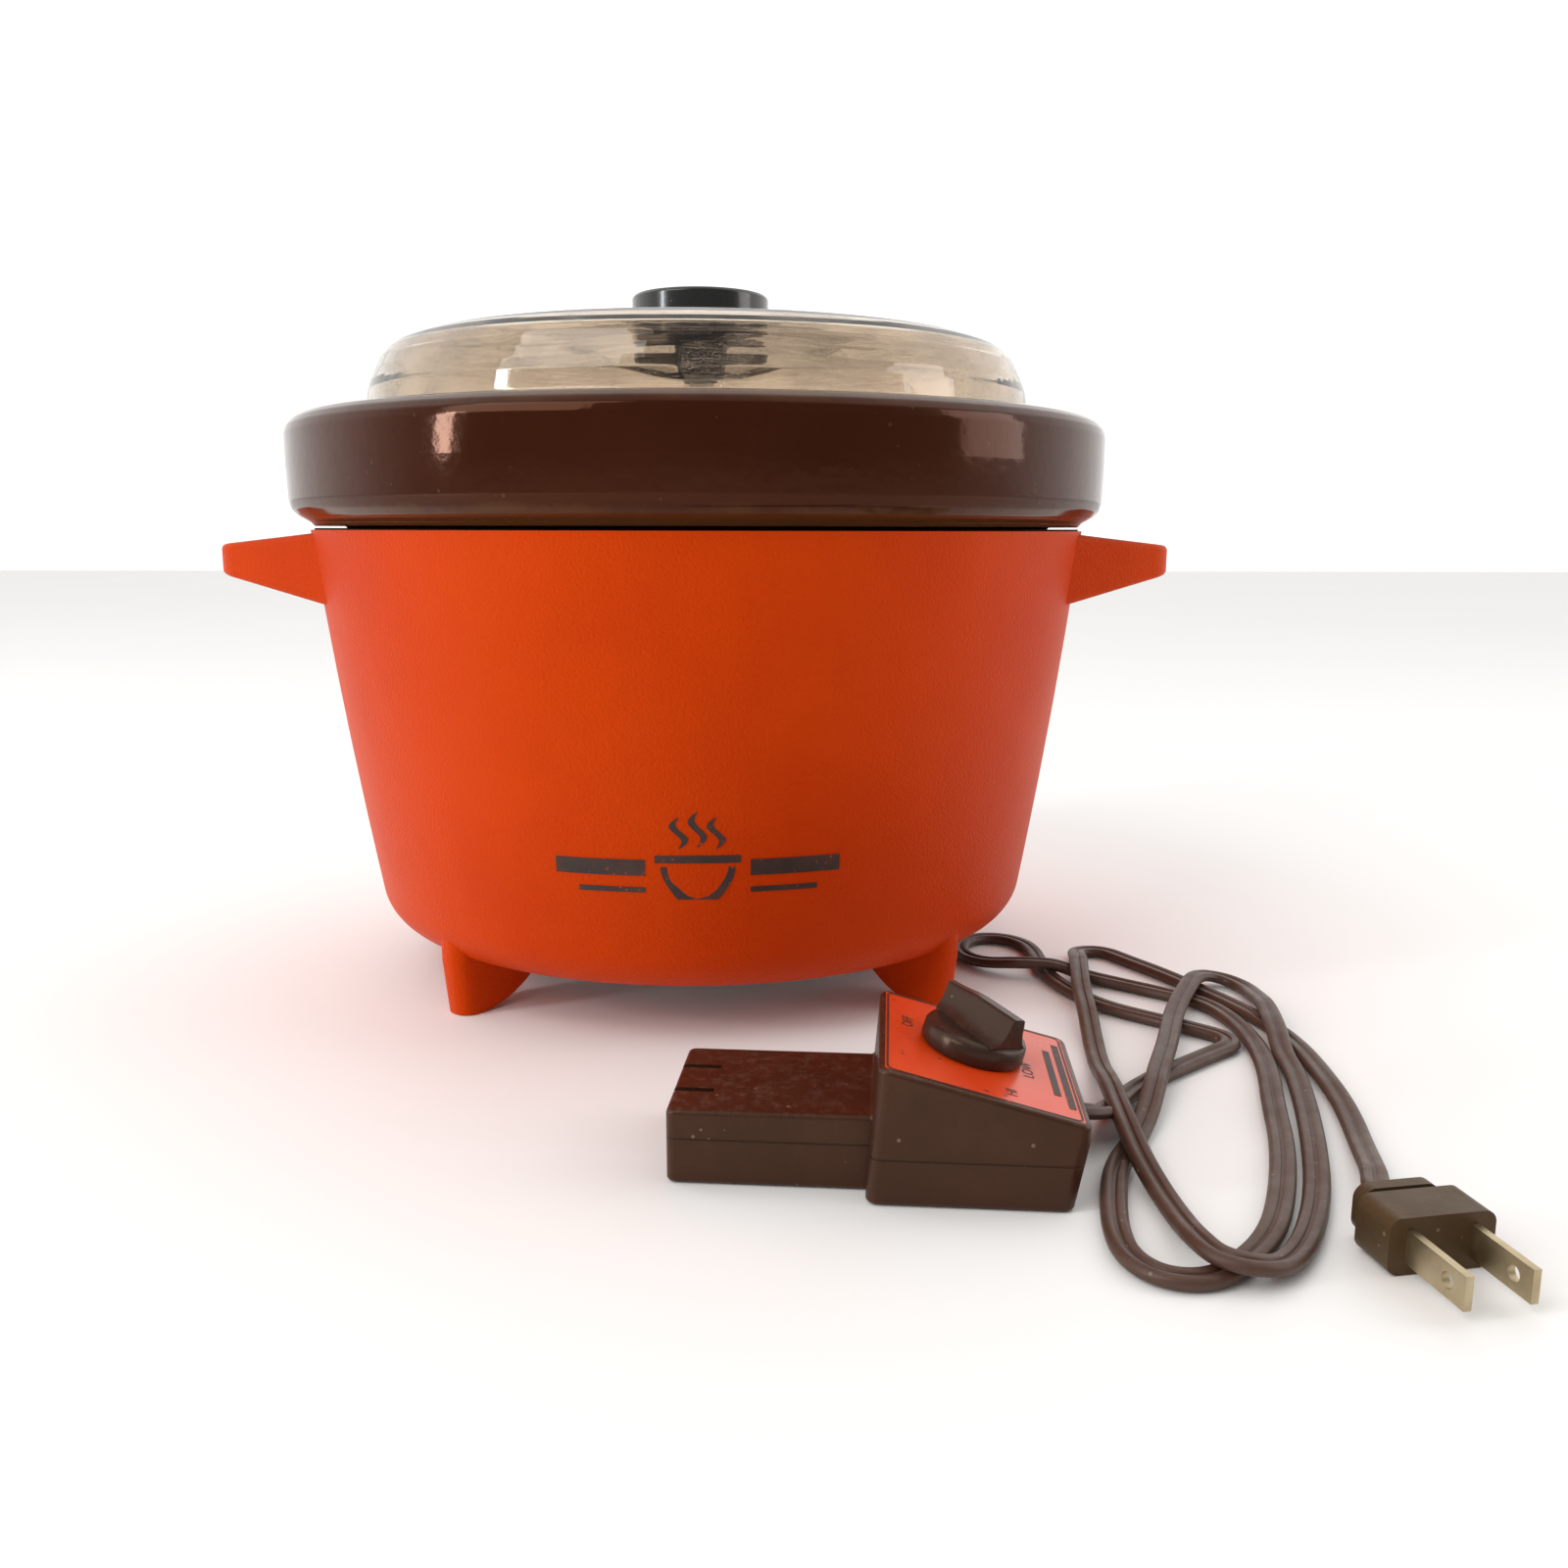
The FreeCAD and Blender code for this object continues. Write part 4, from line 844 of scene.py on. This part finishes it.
pan = metal("pan_metal", (0.50, 0.49, 0.47), 0.38, brushed=True, stain=(0.35, 0.24, 0.15))
x, y = pan.place()[:2]
y = maths(pan.tree, "SUBTRACT", y, AXIS.y)
out = maths(pan.tree, "SQRT", maths(pan.tree, "ADD", maths(pan.tree, "MULTIPLY", x, x),
                                    maths(pan.tree, "MULTIPLY", y, y)))
# painted shade: the flange's outer edge is darkened near black so the seam under the crock reads dark
flange_shade = ramp(pan.tree, out, 0.1085, 0.1105)
pan.tint(flange_shade, (0.012, 0.008, 0.006))
pan.roughen(flange_shade, 0.5)
paint(pan, "heater_pan")
paint(metal("band_metal", (0.62, 0.61, 0.60), 0.45, stain=(0.25, 0.19, 0.16)), "heater_band")
paint(metal("zinc_sheet", (0.58, 0.59, 0.60), 0.42, stain=(0.40, 0.36, 0.28)), "bottom_cover", "pan_posts")
paint(metal("screw_steel", (0.50, 0.50, 0.50), 0.36), "post_screws", "cover_screws", "lid_screw",
      "lid_washer", "case_screws")
paint(metal("plated_brass", (0.62, 0.52, 0.34), 0.32, stain=(0.22, 0.14, 0.07)), "inlet_pins",
      "contact_clips", "plug_blades", "dial_shaft")

dark = Surface("dark_moulding", (0.022, 0.018, 0.016), 0.5)
dark.tint(dark.effect("mottle", Scale=60), (0.036, 0.030, 0.026), 0.8)
dark.tint(dark.effect("flecks", Scale=420, Share=0.07, Size=0.22), (0.15, 0.13, 0.11), 0.6)
dark.bump(dark.effect("grain", Scale=1100), 0.00008, 0.6)
paint(dark, "inlet_shroud", "switch_body", "cord_clamp")

wool = Surface("glass_wool", (0.72, 0.66, 0.52), 0.9)
wool.tint(wool.effect("mottle", Scale=90), (0.55, 0.46, 0.32), 0.8)
wool.bump(wool.effect("scratches", Scale=160, Share=0.7), 0.0005, 0.9)
paint(wool, "heat_wrap", "supply_leads", "unit_leads")

chalk = Surface("block_ceramic", (0.70, 0.66, 0.58), 0.7)
chalk.tint(chalk.effect("mottle", Scale=120), (0.55, 0.50, 0.42), 0.7)
chalk.bump(chalk.effect("grain", Scale=900), 0.0001, 0.6)
paint(chalk, "terminal_block")
print("inner pieces painted")

# %% [markdown]

# %% [markdown]
# ## Floor and light
#
# A wide pale floor, a bright soft sky behind and to the sides, and a dimmer side toward
# the eye, as in a room where the windows are not behind the viewer.  One large soft lamp
# stands to the left, and a narrow one makes the tall window streak on the crock.

# %% Floor and light
floor = add_mesh("floor", [(-4, -4, -0.0002), (4, -4, -0.0002), (4, 4, -0.0002), (-4, 4, -0.0002)],
                 [(0, 1, 2, 3)], smooth=False)
table = Surface("pale_floor", (0.93, 0.93, 0.925), 0.6)
table.tint(table.effect("mottle", Scale=3), (0.91, 0.91, 0.905), 0.5)
paint(table, floor)

world = bpy.data.worlds.new("soft_sky")
bpy.context.scene.world = world
world.use_nodes = True
sky = world.node_tree
toward = node(sky, "SeparateXYZ", {"Vector": node(sky, "TexCoord").outputs["Generated"]}).outputs
level = ramp(sky, toward[1], -0.55, 0.3)
sky.nodes["Background"].inputs["Strength"].default_value = 1.0
dim, bright = (0.34, 0.33, 0.32), (1.25, 1.24, 1.22)
sky.links.new(blend(sky, level, dim, bright), sky.nodes["Background"].inputs["Color"])


def soft_lamp(name, place, aim, size, power, colour=(1, 1, 1)):
    lamp = bpy.data.lights.new(name, "AREA")
    lamp.shape, lamp.size, lamp.size_y = "RECTANGLE", size[0], size[1]
    lamp.energy, lamp.color = power, colour
    made = bpy.data.objects.new(name, lamp)
    made.location = Vector(place) + AXIS
    made.rotation_euler = (Vector(aim) - Vector(place)).to_track_quat("-Z", "Y").to_euler()
    bpy.context.collection.objects.link(made)


soft_lamp("big_soft", (-1.1, -0.9, 1.3), (0, 0, 0.08), (1.2, 1.2), 14, (1.0, 0.97, 0.93))
soft_lamp("window_left", (-1.15, -0.55, 0.42), (0, 0, 0.12), (0.10, 0.5), 4, (0.93, 0.97, 1.0))
soft_lamp("fill_right", (1.2, -0.2, 0.5), (0, 0, 0.10), (0.5, 0.7), 3, (1.0, 0.93, 0.93))
